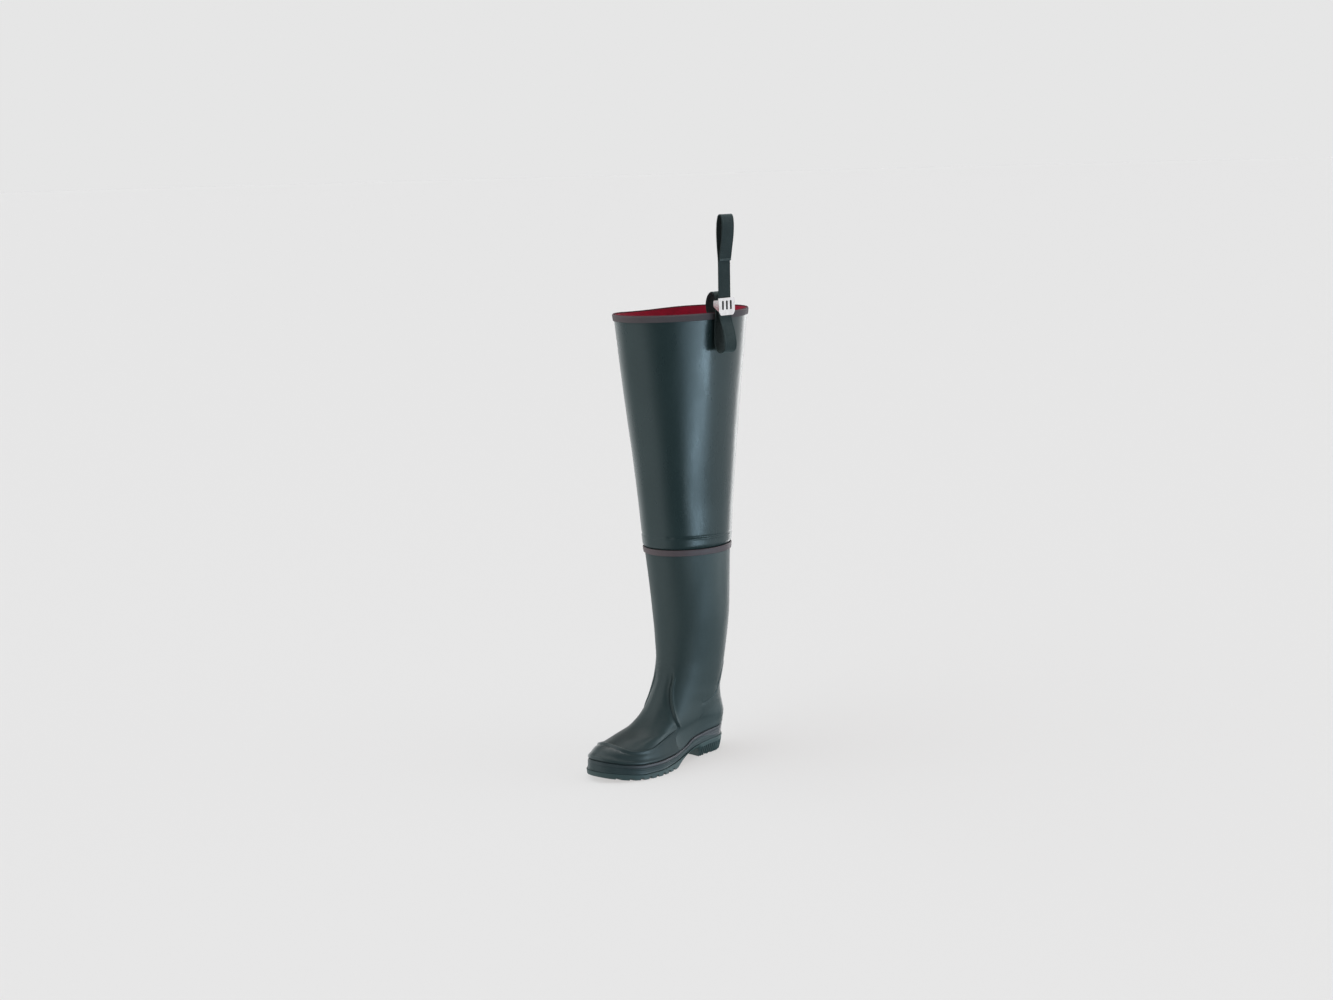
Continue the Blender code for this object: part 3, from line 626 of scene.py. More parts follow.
def woven(name, dark, light, pitch, rough, strength=0.5, sheen=0.0, sheen_tint=None, painted_shade=None):
    """Plain-woven cloth: threads crossing at a pitch in metres, with uneven dye."""
    look = Look(name, Specular_IOR_Level=0.25, Sheen_Weight=sheen, Sheen_Roughness=0.5)
    if sheen_tint:
        look.shader.inputs["Sheen Tint"].default_value = (*sheen_tint, 1.0)
    here = look.surface_uv()
    warp = look.node("ShaderNodeTexWave", {"Vector": here, "Scale": 0.5 / pitch / 3.14159, "Distortion": 0.4, "Detail": 1.0, "Detail Scale": 2.0}, wave_type="BANDS", bands_direction="X")
    weft = look.node("ShaderNodeTexWave", {"Vector": here, "Scale": 0.5 / pitch / 3.14159, "Distortion": 0.4, "Detail": 1.0, "Detail Scale": 2.0}, wave_type="BANDS", bands_direction="Y")
    threads = look.math("MAXIMUM", warp.outputs["Fac"], look.math("MULTIPLY", weft.outputs["Fac"], 0.85))
    dye = look.noise(look.place(), 45.0, 4.0)
    factor = look.math("ADD", look.math("MULTIPLY", threads, 0.45), look.span(dye, 0.0, 0.55, 0.3, 0.7))
    colour = look.ramp(factor, (0.15, dark), (0.95, light))
    if painted_shade:
        # painted shade behind the buckle plate: dark between two heights, out beyond a distance from the leg
        parts = look.node("ShaderNodeSeparateXYZ", {"Vector": look.place()}).outputs
        band = look.math("MULTIPLY", look.span(parts["Z"], 0.0, 1.0, painted_shade[0], painted_shade[0] + 0.003), look.span(parts["Z"], 1.0, 0.0, painted_shade[1] - 0.003, painted_shade[1]))
        band = look.math("MULTIPLY", band, look.span(parts["X"], 0.0, 1.0, painted_shade[2], painted_shade[2] + 0.001))
        colour = look.mix(band, colour, (0.004, 0.005, 0.005))
    look.feed("Base Color", colour)
    look.feed("Roughness", look.span(dye, rough - 0.06, rough + 0.06, 0.3, 0.7))
    look.relief((threads, strength, pitch * 0.35))
    return look.mat


FOXING_RUBBER = foxing_look()
LINING_CLOTH = woven("lining_cloth", (0.430, 0.0120, 0.0420), (0.620, 0.0180, 0.0640), 0.0009, 0.80, 0.4, 0.25, (1.0, 0.45, 0.5))
INSOLE_CLOTH = woven("insole_cloth", (0.170, 0.0090, 0.0240), (0.280, 0.0130, 0.0380), 0.0011, 0.88, 0.5, 0.25, (1.0, 0.45, 0.5))
# the webbing's colour is painted dark where it lies in shade behind the buckle plate (painted shade, not dirt)
WEBBING = woven("webbing", (0.0200, 0.0270, 0.0262), (0.0560, 0.0700, 0.0670), 0.0013, 0.74, 0.8, 0.30, (0.75, 0.95, 0.95), (0.756, 0.778, 0.0896))
THREAD = woven("thread", (0.240, 0.270, 0.265), (0.380, 0.410, 0.400), 0.0004, 0.70, 0.5)


def nickel_look():
    """Plated steel with fine rubbing marks and a little dulling."""
    look = Look("buckle_nickel", Metallic=1.0)
    here = look.place()
    marks = look.noise(look.place((40.0, 40.0, 3.0)), 30.0, 3.0)
    dull = look.noise(here, 160.0, 4.0)
    look.feed("Base Color", look.ramp(dull, (0.30, (0.79, 0.680, 0.665)), (0.70, (0.975, 0.850, 0.832))))
    look.feed("Roughness", look.math("ADD", look.span(marks, 0.14, 0.26, 0.3, 0.7), look.span(dull, 0.0, 0.10, 0.45, 0.75)))
    look.relief((marks, 0.12, 0.00008))
    return look.mat


NICKEL = nickel_look()


# ---------------------------------------------------------------- boot: outer skin with its vamp, creases and stay
def open_phi(front, n_front, n_back):
    """Angles once round, closer together across the front."""
    return np.concatenate(
        [
            np.linspace(-front, front, n_front, endpoint=False),
            np.linspace(front, 2 * math.pi - front, n_back, endpoint=False),
        ]
    )


def signed_arc(points, phi):
    """Arc length round each row from the front, positive to the outer side."""
    ring = lengths(np.concatenate([points, points[:, :1]], 1), 1)
    total = ring[:, -1:]
    front = np.array([np.interp(0.0, phi, row[:-1]) for row in ring])[:, None]
    arc = ring[:, :-1] - front
    return np.where(phi[None, :] > math.pi, arc - total, arc)


def quarter_rise(f, t):
    """How far the quarter stands above the vamp's level: level with the toe guard's end, gone at heel and shaft."""
    return 1.2 * step((f - 84.0) / 48.0) * step((10.2 - t) / 2.2)


def boot_relief(t, phi):
    """Lift of the boot's outer skin above the last, for rows of sections and columns of angles."""
    tt, pp = np.meshgrid(t, phi, indexing="ij")
    p = boot_raw(tt, pp)
    f, o, z = p[..., 0], p[..., 1], p[..., 2]
    arc = signed_arc(p, phi)
    rise = lengths(p, 0)

    front_cols = phi <= math.pi
    order = np.argsort(np.where(front_cols, phi, phi - 2 * math.pi))
    angle_sorted = np.where(front_cols, phi, phi - 2 * math.pi)[order]
    arc_sorted = arc[:, order]
    edge = crease_phi(t)
    edge_out = np.array([np.interp(a, angle_sorted, row) for a, row in zip(edge, arc_sorted)])[:, None]
    edge_in = -np.array([np.interp(-a, angle_sorted, row) for a, row in zip(edge, arc_sorted)])[:, None]
    away = np.where(arc >= 0, arc - edge_out, -arc - edge_in)        # beyond the vamp's side edge

    shown = step((tt - 4.5) / 0.5) * step((9.30 - tt) / 0.55)
    shown = shown * np.where(arc >= 0, 1.0, 1.0 - 0.75 * step((tt - 6.6) / 1.2))
    lift = np.zeros_like(tt)
    # quarter above the vamp, ending under the toe guard
    beside = 1 - (1 - step((away + 2.0) / 3.0)) * step((9.30 - tt) / 0.55)
    under_guard = 1 - (1 - step((168.0 - f) / 18.0)) * step((5.6 - tt) / 0.9)
    above = quarter_rise(f, tt) * beside * under_guard
    lift += above
    lift += -0.5 * step(-away / 5.0) * shown
    lift += -1.8 * bump((away + 1.4) / 1.15) * shown * step((tt - 4.6) / 0.4)
    lift += 1.25 * bump((away - 2.0) / 1.4) * shown
    # broad hollow of the vamp beside the upper part of the crease
    lift += -1.5 * bump((away + 6.5) / 4.0) * step((tt - 6.7) / 0.7) * step((9.5 - tt) / 0.8) * np.where(arc >= 0, 1.0, 0.25)
    # step across the front at the top of the vamp
    top_rise = np.array([np.interp(9.48, t, rise[:, j]) for j in range(len(phi))])[None, :]
    upward = rise - top_rise
    lift += -0.25 * step((2.0 - upward) / 9.0) * step(-away / 6.0) * step((tt - 7.6) / 1.2) * step((9.9 - tt) / 0.3)
    for i in range(len(WRINKLES["t"])):
        at = np.array([np.interp(WRINKLES["t"][i], t, rise[:, j]) for j in range(len(phi))])[None, :]
        bend = 0.012 * (arc - WRINKLES["arc"][i]) ** 2
        lift += (
            WRINKLES["lift"][i]
            * bump((rise - at + bend) / WRINKLES["high"][i])
            * bump((arc - WRINKLES["arc"][i]) / WRINKLES["long"][i] * 1.4)
        )
    for i in range(len(INSTEP_RIDGES["t_up"])):
        r = {name: column[i] for name, column in INSTEP_RIDGES.items()}
        share = np.clip((r["t_up"] - tt) / (r["t_up"] - r["t_low"]), -0.3, 1.3)
        middle = r["arc_up"] + (r["arc_low"] - r["arc_up"]) * share
        lift += r["lift"] * bump((arc - middle) / r["wide"]) * step((share + 0.3) / 0.5) * step((1.3 - share) / 0.5)
    # soft swelling of the vamp beside the lower end of the crease
    lift += 0.9 * bump((away + 10.0) / 4.5) * bump((tt - 5.85) / 0.45)
    # moulded stay over the heel: its edge, then a little proud below it
    below = (stay_edge(f) - z) * step((92.0 - f) / 16.0)
    at_stay = step((92.0 - f) / 16.0) * step((tt - 4.0) / 1.0)
    lift += (0.75 * step(below / 2.2) * step((z - 60.0) / 25.0) - 0.85 * bump((below + 1.0) / 0.9)) * at_stay
    # slow unevenness of the soft shaft
    wave = np.sin(2 * pp + 0.9 * tt) * np.sin(0.55 * tt + 1.2) + 0.6 * np.sin(3 * pp - 1.4 * tt + 0.7)
    lift += 0.28 * wave * step((tt - 9.0) / 2.0) * step((14.0 - tt) / 1.2)
    return lift


SHELL_T = spread((0, 2, 12), (2, 4.6, 42), (4.6, 9.9, 118), (9.9, 14, 40))
SHELL_PHI = open_phi(1.42, 210, 130)
SHELL_LIFT = boot_relief(SHELL_T, SHELL_PHI)


def shell_lift(t, phi):
    """Lift of the boot's outer skin at any section and angle, read from its grid."""
    t, phi = np.broadcast_arrays(np.asarray(t, float), np.asarray(phi, float))
    turn = (phi - SHELL_PHI[0]) % (2 * math.pi) + SHELL_PHI[0]
    columns = np.append(SHELL_PHI, SHELL_PHI[0] + 2 * math.pi)
    i = np.clip(np.searchsorted(SHELL_T, t, side="right") - 1, 0, len(SHELL_T) - 2)
    j = np.clip(np.searchsorted(columns, turn, side="right") - 1, 0, len(SHELL_PHI) - 1)
    a = np.clip((t - SHELL_T[i]) / (SHELL_T[i + 1] - SHELL_T[i]), 0, 1)
    b = np.clip((turn - columns[j]) / (columns[j + 1] - columns[j]), 0, 1)
    j2 = (j + 1) % len(SHELL_PHI)
    low = SHELL_LIFT[i, j] * (1 - b) + SHELL_LIFT[i, j2] * b
    high = SHELL_LIFT[i + 1, j] * (1 - b) + SHELL_LIFT[i + 1, j2] * b
    return low * (1 - a) + high * a


def boot_shell():
    t, phi = SHELL_T, SHELL_PHI
    outer = boot_point(t[:, None], phi[None, :], SHELL_LIFT)
    inner_t = spread((0, 14, 26))[::-1]
    inner = boot_point(inner_t[:, None], phi[None, :], -BOOT_WALL)
    rim = boot_point(np.full((1, 1), 14.0), phi[None, :], -BOOT_WALL * 0.5)
    rim[..., 2] += 0.35
    foot = boot_point(np.full((1, 1), 0.0), phi[None, :], -BOOT_WALL * 0.5)
    torus("boot_shell", np.concatenate([outer, rim, inner, foot]), BOOT_RUBBER, "boot_upper", 50)


def boot_lining():
    phi = open_phi(1.42, 120, 80)
    rows = spread((0.35, 4, 30), (4, 13.62, 60))
    outside = boot_point(rows[:, None], phi[None, :], -(BOOT_WALL + 0.06))
    inside = boot_point(rows[::-1][:, None], phi[None, :], -(BOOT_WALL + 0.55))
    torus("boot_lining", np.concatenate([outside, inside]), LINING_CLOTH, None)


# ---------------------------------------------------------------- leg and its lining
def seam_height(phi):
    return 382.4 + 3.2 * np.cos(phi)


def leg_relief(z, phi):
    zz, pp = np.meshgrid(z, phi, indexing="ij")
    p = leg_raw(zz, pp)
    arc = lengths(np.concatenate([p, p[:, :1]], 1), 1)[:, :-1]
    from_seam = zz - seam_height(pp)
    lift = 0.55 * bump((from_seam + 0.6) / 1.0) - 0.55 * bump((from_seam - 1.8) / 1.1)
    lift += 0.45 * step(-from_seam / 2.0) * step((zz - 366.0) / 6.0)
    for phi_0, half, height in zip(SEAM_PINCHES["phi"], SEAM_PINCHES["half"], SEAM_PINCHES["lift"]):
        turn = (pp - phi_0 + math.pi) % (2 * math.pi) - math.pi
        lift += height * bump(turn * 72.0 / half * 1.3) * bump((from_seam - 0.4) / 1.5)
    # seam of the rolled sheet down the back, and the slow unevenness of a hanging leg
    turn = (pp - math.pi + math.pi) % (2 * math.pi) - math.pi
    lift += 0.45 * step((turn * 100.0 + 7.0) / 1.6) * step((7.0 - turn * 100.0) / 1.6) * step((zz - 384.0) / 4.0)
    wave = np.sin(2 * pp + 0.011 * zz) * np.sin(0.013 * zz + 0.6) + 0.5 * np.sin(3 * pp - 0.017 * zz + 1.9)
    lift += 0.55 * wave * step((zz - 392.0) / 60.0) * step((742.0 - zz) / 50.0)
    return lift


def leg_shell():
    phi = open_phi(1.42, 110, 110)
    z = spread((372, 395, 34), (395, 742, 84), (742, COLLAR_Z, 6))
    outer = leg_point(z[:, None], phi[None, :], leg_relief(z, phi))
    tuck = boot_point(np.linspace(13.66, 14.0, 4)[:, None], phi[None, :], -(BOOT_WALL + GAP))
    first, last = tuck[-1], outer[0]
    turn = np.linspace(0, 1, 9)[1:-1, None, None]
    swell = first + (last - first) * np.concatenate([np.sin(turn * math.pi / 2)] * 2 + [1 - np.cos(turn * math.pi / 2)], -1)
    outer = np.concatenate([tuck, swell, outer])
    inner_z = spread((372, COLLAR_Z, 24))[::-1]
    inner = leg_point(inner_z[:, None], phi[None, :], -LEG_WALL)
    inner_tuck = boot_point(np.linspace(14.0, 13.66, 3)[:, None], phi[None, :], -(BOOT_WALL + GAP + LEG_WALL))
    torus("leg_shell", np.concatenate([outer, inner, inner_tuck]), LEG_RUBBER, "leg", 60)


def leg_lining():
    phi = open_phi(1.42, 90, 90)
    z = spread((372, COLLAR_Z - 0.4, 84))
    tuck_t = np.linspace(13.66, 14.0, 3)
    outside = np.concatenate(
        [
            boot_point(tuck_t[:, None], phi[None, :], -(BOOT_WALL + GAP + LEG_WALL + 0.08)),
            leg_point(z[:, None], phi[None, :], -(LEG_WALL + 0.08)),
        ]
    )
    inside = np.concatenate(
        [
            boot_point(tuck_t[:, None], phi[None, :], -(BOOT_WALL + GAP + LEG_WALL + 0.55)),
            leg_point(z[:, None], phi[None, :], -(LEG_WALL + 0.55)),
        ]
    )[::-1]
    torus("leg_lining", np.concatenate([outside, inside]), LINING_CLOTH, None)


# ---------------------------------------------------------------- bindings
def rounded(corners, radius, each=4):
    """A closed section with its corners rounded: points (x, y)."""
    corners = np.asarray(corners, float)
    found = []
    for before, at, after in zip(np.roll(corners, 1, 0), corners, np.roll(corners, -1, 0)):
        a, b = before - at, after - at
        la, lb = np.linalg.norm(a), np.linalg.norm(b)
        r = min(radius, la * 0.45, lb * 0.45)
        start, end = at + a / la * r, at + b / lb * r
        for s in np.linspace(0, 1, each):
            found.append((1 - s) ** 2 * start + 2 * s * (1 - s) * at + s**2 * end)
    return np.array(found)


def subdivided(section, longest):
    """Extra points on long sides of a closed section."""
    found = []
    for a, b in zip(section, np.roll(section, -1, 0)):
        n = max(1, int(math.ceil(np.linalg.norm(b - a) / longest)))
        found += [a + (b - a) * k / n for k in range(n)]
    return np.array(found)


def knee_tape():
    phi = open_phi(1.42, 130, 110)
    high = 1.0 / 72.0       # sections of the boot per millimetre, near its top
    section = subdivided(
        rounded(
            [(-12.6, GAP), (-12.6, GAP + 1.3), (-11.4, GAP + 2.0), (-1.6, GAP + 2.3), (0.35, GAP + 1.5), (0.35, GAP)], 0.7
        ),
        1.6,
    )
    points = []
    for along_up, lift in section:
        # two shallow lines rolled into the tape
        outside = lift > GAP + 1.2
        press = -0.30 * (bump((along_up + 2.9) / 0.5) + bump((along_up + 10.2) / 0.5)) if outside else 0.0
        wave = 0.10 * np.sin(9 * phi + 0.4) + 0.08 * np.sin(17 * phi) if outside else 0.0
        ring = boot_point(np.full_like(phi, 14.0 + min(along_up, 0.0) * high), phi, lift + press + wave)
        ring[:, 2] += max(along_up, 0.0)
        points.append(ring)
    torus("knee_tape", np.array(points), KNEE_RUBBER, "knee_band", 50)


def collar_tape():
    phi = open_phi(1.42, 150, 130)
    inside = -(LEG_WALL + GAP)
    section = subdivided(
        rounded(
            [
                (-BINDING_HEIGHT, GAP),
                (-BINDING_HEIGHT, GAP + 0.8 * BINDING_PROUD),
                (-BINDING_HEIGHT + 1.2, GAP + BINDING_PROUD),
                (-0.6, GAP + BINDING_PROUD),
                (GAP + 1.2, GAP + 0.2 * BINDING_PROUD),
                (GAP + 1.2, inside + 0.4),
                (-0.2, inside - 0.1),
                (-0.2, inside + 0.2),
                (GAP, inside + 0.2),
                (GAP, GAP),
            ],
            0.7,
        ),
        1.6,
    )
    points = []
    for rise, lift in section:
        outside = lift > GAP + 1.0
        press = -0.22 * bump((rise + BINDING_HEIGHT - 2.2) / 0.5) if outside else 0.0
        wave = 0.12 * np.sin(7 * phi + 0.9) + 0.08 * np.sin(19 * phi) if outside else 0.0
        points.append(leg_point(np.full_like(phi, COLLAR_Z + rise), phi, lift + press + wave))
    row_mats = [1 if lift < GAP + 1.0 and rise > -0.3 else 0 for rise, lift in section]
    torus("collar_tape", np.array(points), [COLLAR_RUBBER, COLLAR_INSIDE], "collar_binding", 50, row_mats)


# ---------------------------------------------------------------- foxing, toe guard and heel counter
def foxing_strip():
    phi = open_phi(1.7, 300, 180)
    top = solve(phi, foxing_top, 0.3, 4.0)
    v = spread((0, 0.06, 4), (0.06, 0.62, 14), (0.62, 0.76, 10), (0.76, 0.94, 12), (0.94, 1.0, 6))
    profile = 2.55 + 0.35 * step(v / 0.10)
    profile = profile - 0.75 * bump((v - 0.69) / 0.018) + 0.65 * np.sin(np.clip((v - 0.71) / 0.29, 0, 1) * math.pi) ** 0.7
    profile = profile + 0.22 * bump((v - 0.34) / 0.06) - 0.30 * bump((v - 0.22) / 0.014) - 0.30 * bump((v - 0.46) / 0.014)
    profile = profile - 1.6 * step((v - 0.965) / 0.035)
    t = 0.02 + (top - 0.02)[None, :] * v[:, None]
    toe = step((1.0 - np.abs(phi)) / 0.7)
    heel = step((1.25 - np.abs(phi - math.pi)) / 0.6)
    slope = 1 - 0.55 * toe[None, :] * v[:, None] ** 1.2 - heel[None, :] * (0.30 + 0.20 * v[:, None])
    # the lower edge flares to the outsole's rim
    flare = 1.7 * step((np.cos(phi) + 0.25) / 0.6)[None, :] * (1 - step(v / 0.38))[:, None]
    outer = boot_point(t, phi[None, :], GAP + profile[:, None] * slope + flare)
    back = v[::-4]
    inner_t = 0.02 + (top - 0.02)[None, :] * back[:, None]
    inner = boot_point(inner_t, phi[None, :], GAP)
    points = np.concatenate([outer, inner])
    obj = torus("foxing_strip", points, FOXING_RUBBER, "foxing", 50)
    # brown above a line that drops towards the heel, and gone round the front of the toe
    share = np.concatenate([v, back])[:, None]
    line = 0.70 - 0.62 * step((90.0 - points[..., 0]) / 55.0)
    strength = 0.15 + 0.85 * step((np.abs((phi + math.pi) % (2 * math.pi) - math.pi) - 0.55) / 0.55)[None, :]
    strength = strength * (1 - 0.35 * step((90.0 - points[..., 0]) / 55.0))
    values = np.zeros((points.shape[0], points.shape[1], 3), np.float32)
    values[..., 0] = step((share - line) / 0.05) * strength
    layer = obj.data.attributes.new("browned", "FLOAT_VECTOR", "POINT")
    layer.data.foreach_set("vector", values.ravel())


def overlay(name, q, low, high, lift, mat, node, rows=46):
    """A moulded skin between a lower and an upper edge, each (sections, angles), with a lift for each point."""
    v = spread((0, 0.1, 8), (0.1, 0.7, rows // 2), (0.7, 1.0, rows // 2))
    t = low[0][:, None] + (high[0] - low[0])[:, None] * v[None, :]
    phi = low[1][:, None] + (high[1] - low[1])[:, None] * v[None, :]
    flat = boot_raw(t, phi)
    run = lengths(flat, 1)
    top = run[:, -1:] - run
    outer = boot_point(t, phi, lift(q[:, None], top, run, flat, shell_lift(t, phi) + 0.03))
    back = v[::-3]
    t_back = low[0][:, None] + (high[0] - low[0])[:, None] * back[None, :]
    phi_back = low[1][:, None] + (high[1] - low[1])[:, None] * back[None, :]
    inner = boot_point(t_back, phi_back, shell_lift(t_back, phi_back) - 0.30)
    strip(name, np.concatenate([outer, inner], 1), mat, node, 50)


def toe_guard():
    q = spread((-1, -0.5, 90), (-0.5, 0.5, 190), (0.5, 1, 90))
    phi_low, phi_high = 1.64 * q, 1.32 * q
    low = (solve(phi_low, lambda f: foxing_top(f) + GAP, 0.3, 4.0), phi_low)
    high = (solve(phi_high, guard_edge, 1.6, 6.5), phi_high)

    def lift(q, top, run, flat, flush):
        front = step((0.75 - np.abs(q)) / 0.45)
        rear = step((flat[..., 0] - 139.0) / 30.0)
        h = OVERLAY_TOP
        h = h + (1.0 + 1.2 * front) * bump((run - 4.4) / (3.2 - 0.3 * front))           # swelling above the foxing
        h = h - 0.5 * front * bump((run - 10.0) / 3.4)                                  # hollow above the swelling
        h = h + (0.35 + 1.05 * front) * bump((top - 2.7) / 1.6)                         # bead along its edge
        h = h - (0.15 + 0.65 * front) * bump((top - 7.4) / 1.6)                         # groove under the bead
        h = h - (h - 0.5) * step((1.5 - run) / 1.5)                                     # rolled lower edge
        return flush + (h - flush) * rear * step(top / 0.9)

    overlay("toe_guard_skin", q, low, high, lift, GUARD_RUBBER, "toe_guard")


def heel_counter():
    q = spread((-1, 1, 220))
    phi_low, phi_high = math.pi + q * (math.pi - 1.85), math.pi + q * (math.pi - 1.80)
    low = (solve(phi_low, lambda f: foxing_top(f) + GAP, 0.3, 4.0), phi_low)
    high = (solve(phi_high, counter_edge, 2.0, 8.0), phi_high)

    def lift(q, top, run, flat, flush):
        fade = step((92.0 - flat[..., 0]) / 44.0)
        h = OVERLAY_TOP + 0.5 * bump((run - 4.2) / 3.0)
        h = h - (h - 0.4) * step((1.5 - run) / 1.5)
        return flush + (np.maximum(h, flush) - flush) * fade * step(top / 22.0)

    overlay("heel_counter_skin", q, low, high, lift, COUNTER_RUBBER, "heel_counter")


# ---------------------------------------------------------------- outsole with its lugs, and the insole
def sole_outline(level):
    """f, outer and inner edge of the sole at a level: 0 its top, 1 its tread."""
    u = (1 - np.cos(np.linspace(0, math.pi, 3001))) / 2
    station = SOLE_LENGTH * u
    back = SOLE_BACK[0] + (SOLE_BACK[1] - SOLE_BACK[0]) * level
    front = SOLE_FRONT[0] + (SOLE_FRONT[1] - SOLE_FRONT[0]) * level
    f = station + back * (1 - u) ** 6 + (front - SOLE_LENGTH) * u**6
    share = level**1.74
    margin = edge_top(station) * (1 - share) + edge_tread(station) * share - 0.35 * step((0.04 - level) / 0.04)
    cap = foot_cap(u)
    return f, plan_swing(station) + (plan_outer(station) + margin) * cap, plan_swing(station) - (plan_inner(station) + margin) * cap


def groove_depth(f_middle):
    """Depth of the tread's grooves by their place on the middle line."""
    depth = np.zeros_like(f_middle)
    runs = [(FOREFOOT_FIRST_F + i * FOREFOOT_PITCH, FOREFOOT_GROOVE, FOREFOOT_DEPTH) for i in range(FOREFOOT_GROOVES)]
    runs += [(HEEL_FIRST_F + i * HEEL_PITCH, HEEL_GROOVE, HEEL_DEPTH) for i in range(HEEL_GROOVES)]
    for middle, width, deep in runs:
        depth = np.maximum(depth, deep * np.clip((width / 2 + 0.35 - np.abs(f_middle - middle)) / 0.7, 0, 1))
    return depth


def groove_rows():
    runs = [(FOREFOOT_FIRST_F + i * FOREFOOT_PITCH, FOREFOOT_GROOVE) for i in range(FOREFOOT_GROOVES)]
    runs += [(HEEL_FIRST_F + i * HEEL_PITCH, HEEL_GROOVE) for i in range(HEEL_GROOVES)]
    rows = []
    for middle, width in runs:
        for away in (width / 2 + 0.9, width / 2 + 0.35, width / 2 - 0.35, width / 2 - 1.0):
            rows += [middle - away, middle + away]
        rows.append(middle)
    return rows


def outsole():
    low_f, high_f = SOLE_BACK[1], SOLE_FRONT[1]
    turn = np.linspace(0, math.pi, 150)
    even = low_f + (high_f - low_f) * (1 - np.cos(turn)) / 2
    heel_f, heel_out, _ = sole_outline(0.6)
    heel_run = np.concatenate([[0.0], np.cumsum(np.hypot(np.diff(heel_f), np.diff(heel_out)))])
    heel = np.interp(np.arange(0.5, np.interp(92.0, heel_f, heel_run), 0.5), heel_run, heel_f)
    ends = np.concatenate([low_f + np.array([0, 0.15, 0.4, 0.8, 1.3]), high_f - np.array([0, 0.15, 0.4, 0.8, 1.4, 2.2])])
    f_row = np.unique(np.round(np.concatenate([even, heel, ends, groove_rows()]), 3))
    f_row = f_row[(f_row >= low_f) & (f_row <= high_f)]
    f_row = f_row[np.concatenate([[True], np.diff(f_row) > 0.12])]
    lean = CHEVRON_LEAN * step((f_row - 14.0) / 20.0) * step((298.0 - f_row) / 25.0)
    depth = groove_depth(f_row)
    share = (f_row - low_f) / (high_f - low_f)

    def side(level, outer):
        f_line, out_line, in_line = sole_outline(level)
        line = out_line if outer else in_line
        f_here = f_line[0] + share * (f_line[-1] - f_line[0])
        o = np.interp(f_here, f_line, line)
        for _ in range(40):
            o = 0.5 * o + 0.5 * np.interp(f_here - lean * np.abs(o), f_line, line)
        f = f_here - lean * np.abs(o)
        z_low = tread(f)
        z = (feather(f) - 0.05) * (1 - level) + z_low * level
        # upright grooves round the side of the heel block, evenly along its edge, and a fine line under its upper edge
        turn_at = np.interp(f, heel_f, heel_run) / RIB_PITCH
        groove = step(1.9 - np.abs(turn_at - np.round(turn_at)) * RIB_PITCH / (0.5 * RIB_GROOVE))
        out = -RIB_DEPTH * groove * step((level - 0.26) / 0.08) * step((90.0 - f) / 4.0)
        out = out - 0.12 * bump((level - 0.20) / 0.035)
        away = np.stack([f - 60.0, o], -1) * np.where(f < 60.0, 1.0, 0.0)[:, None] + np.stack([np.zeros_like(f), o], -1) * np.where(f < 60.0, 0.0, 1.0)[:, None]
        away = away / np.maximum(np.linalg.norm(away, axis=-1, keepdims=True), 1e-6)
        ended = step(np.minimum(f_row - low_f, high_f - f_row) / 1.5)
        f = f + away[:, 0] * out * ended
        o = o + away[:, 1] * out * ended
        z = np.maximum(z, z_low + depth)
        return np.stack([f, o, z], -1)

    levels = np.concatenate([[0.0, 0.03, 0.07, 0.13], np.linspace(0.16, 0.26, 6), np.linspace(0.30, 0.94, 12), [0.965, 0.985]])
    outer_side = [side(level, True) for level in levels]
    inner_side = [side(level, False) for level in levels[::-1]]
    out_edge, in_edge = side(1.0, True), side(1.0, False)
    across = []
    for w in np.linspace(0, 1, 44):
        o = out_edge[:, 1] + (in_edge[:, 1] - out_edge[:, 1]) * w
        f = f_row - lean * np.abs(o)
        inset = np.minimum(w, 1 - w) * np.abs(out_edge[:, 1] - in_edge[:, 1])
        z = tread(f) + depth + 0.35 * step((0.9 - inset) / 0.9) * (tread(f) > 0.5)
        across.append(np.stack([f, o, z], -1))
    top_out, top_in = outer_side[0], inner_side[-1]
    top = [top_in + (top_out - top_in) * s for s in np.linspace(0, 1, 8)[1:-1]]
    points = np.stack([*outer_side, *across, *inner_side, *top], 1)
    strip("outsole_tread", points, SOLE_RUBBER, "outsole", 32, weld=True)


def insole():
    half = np.linspace(0, math.pi, 90)
    ring_out = boot_point(0.2, half, -(BOOT_WALL + 0.95))
    ring_in = boot_point(0.2, -half, -(BOOT_WALL + 0.95))
    f = (ring_out[:, 0] + ring_in[:, 0]) / 2
    loops = []
    for w in np.linspace(0, 1, 24):
        o = ring_out[:, 1] + (ring_in[:, 1] - ring_out[:, 1]) * w
        edge = np.minimum(w, 1 - w) * np.abs(ring_out[:, 1] - ring_in[:, 1])
        loops.append(np.stack([f, o, feather(f) + INSOLE_THICK - 0.9 * step((2.0 - edge) / 2.0) - 0.5 * step(edge / 26.0)], -1))
    for w in np.linspace(1, 0, 8):
        o = ring_out[:, 1] + (ring_in[:, 1] - ring_out[:, 1]) * w
        loops.append(np.stack([f, o, feather(f) + 0.3], -1))
    strip("insole_sock", np.stack(loops, 1), INSOLE_CLOTH, "insole", 50, weld=True)


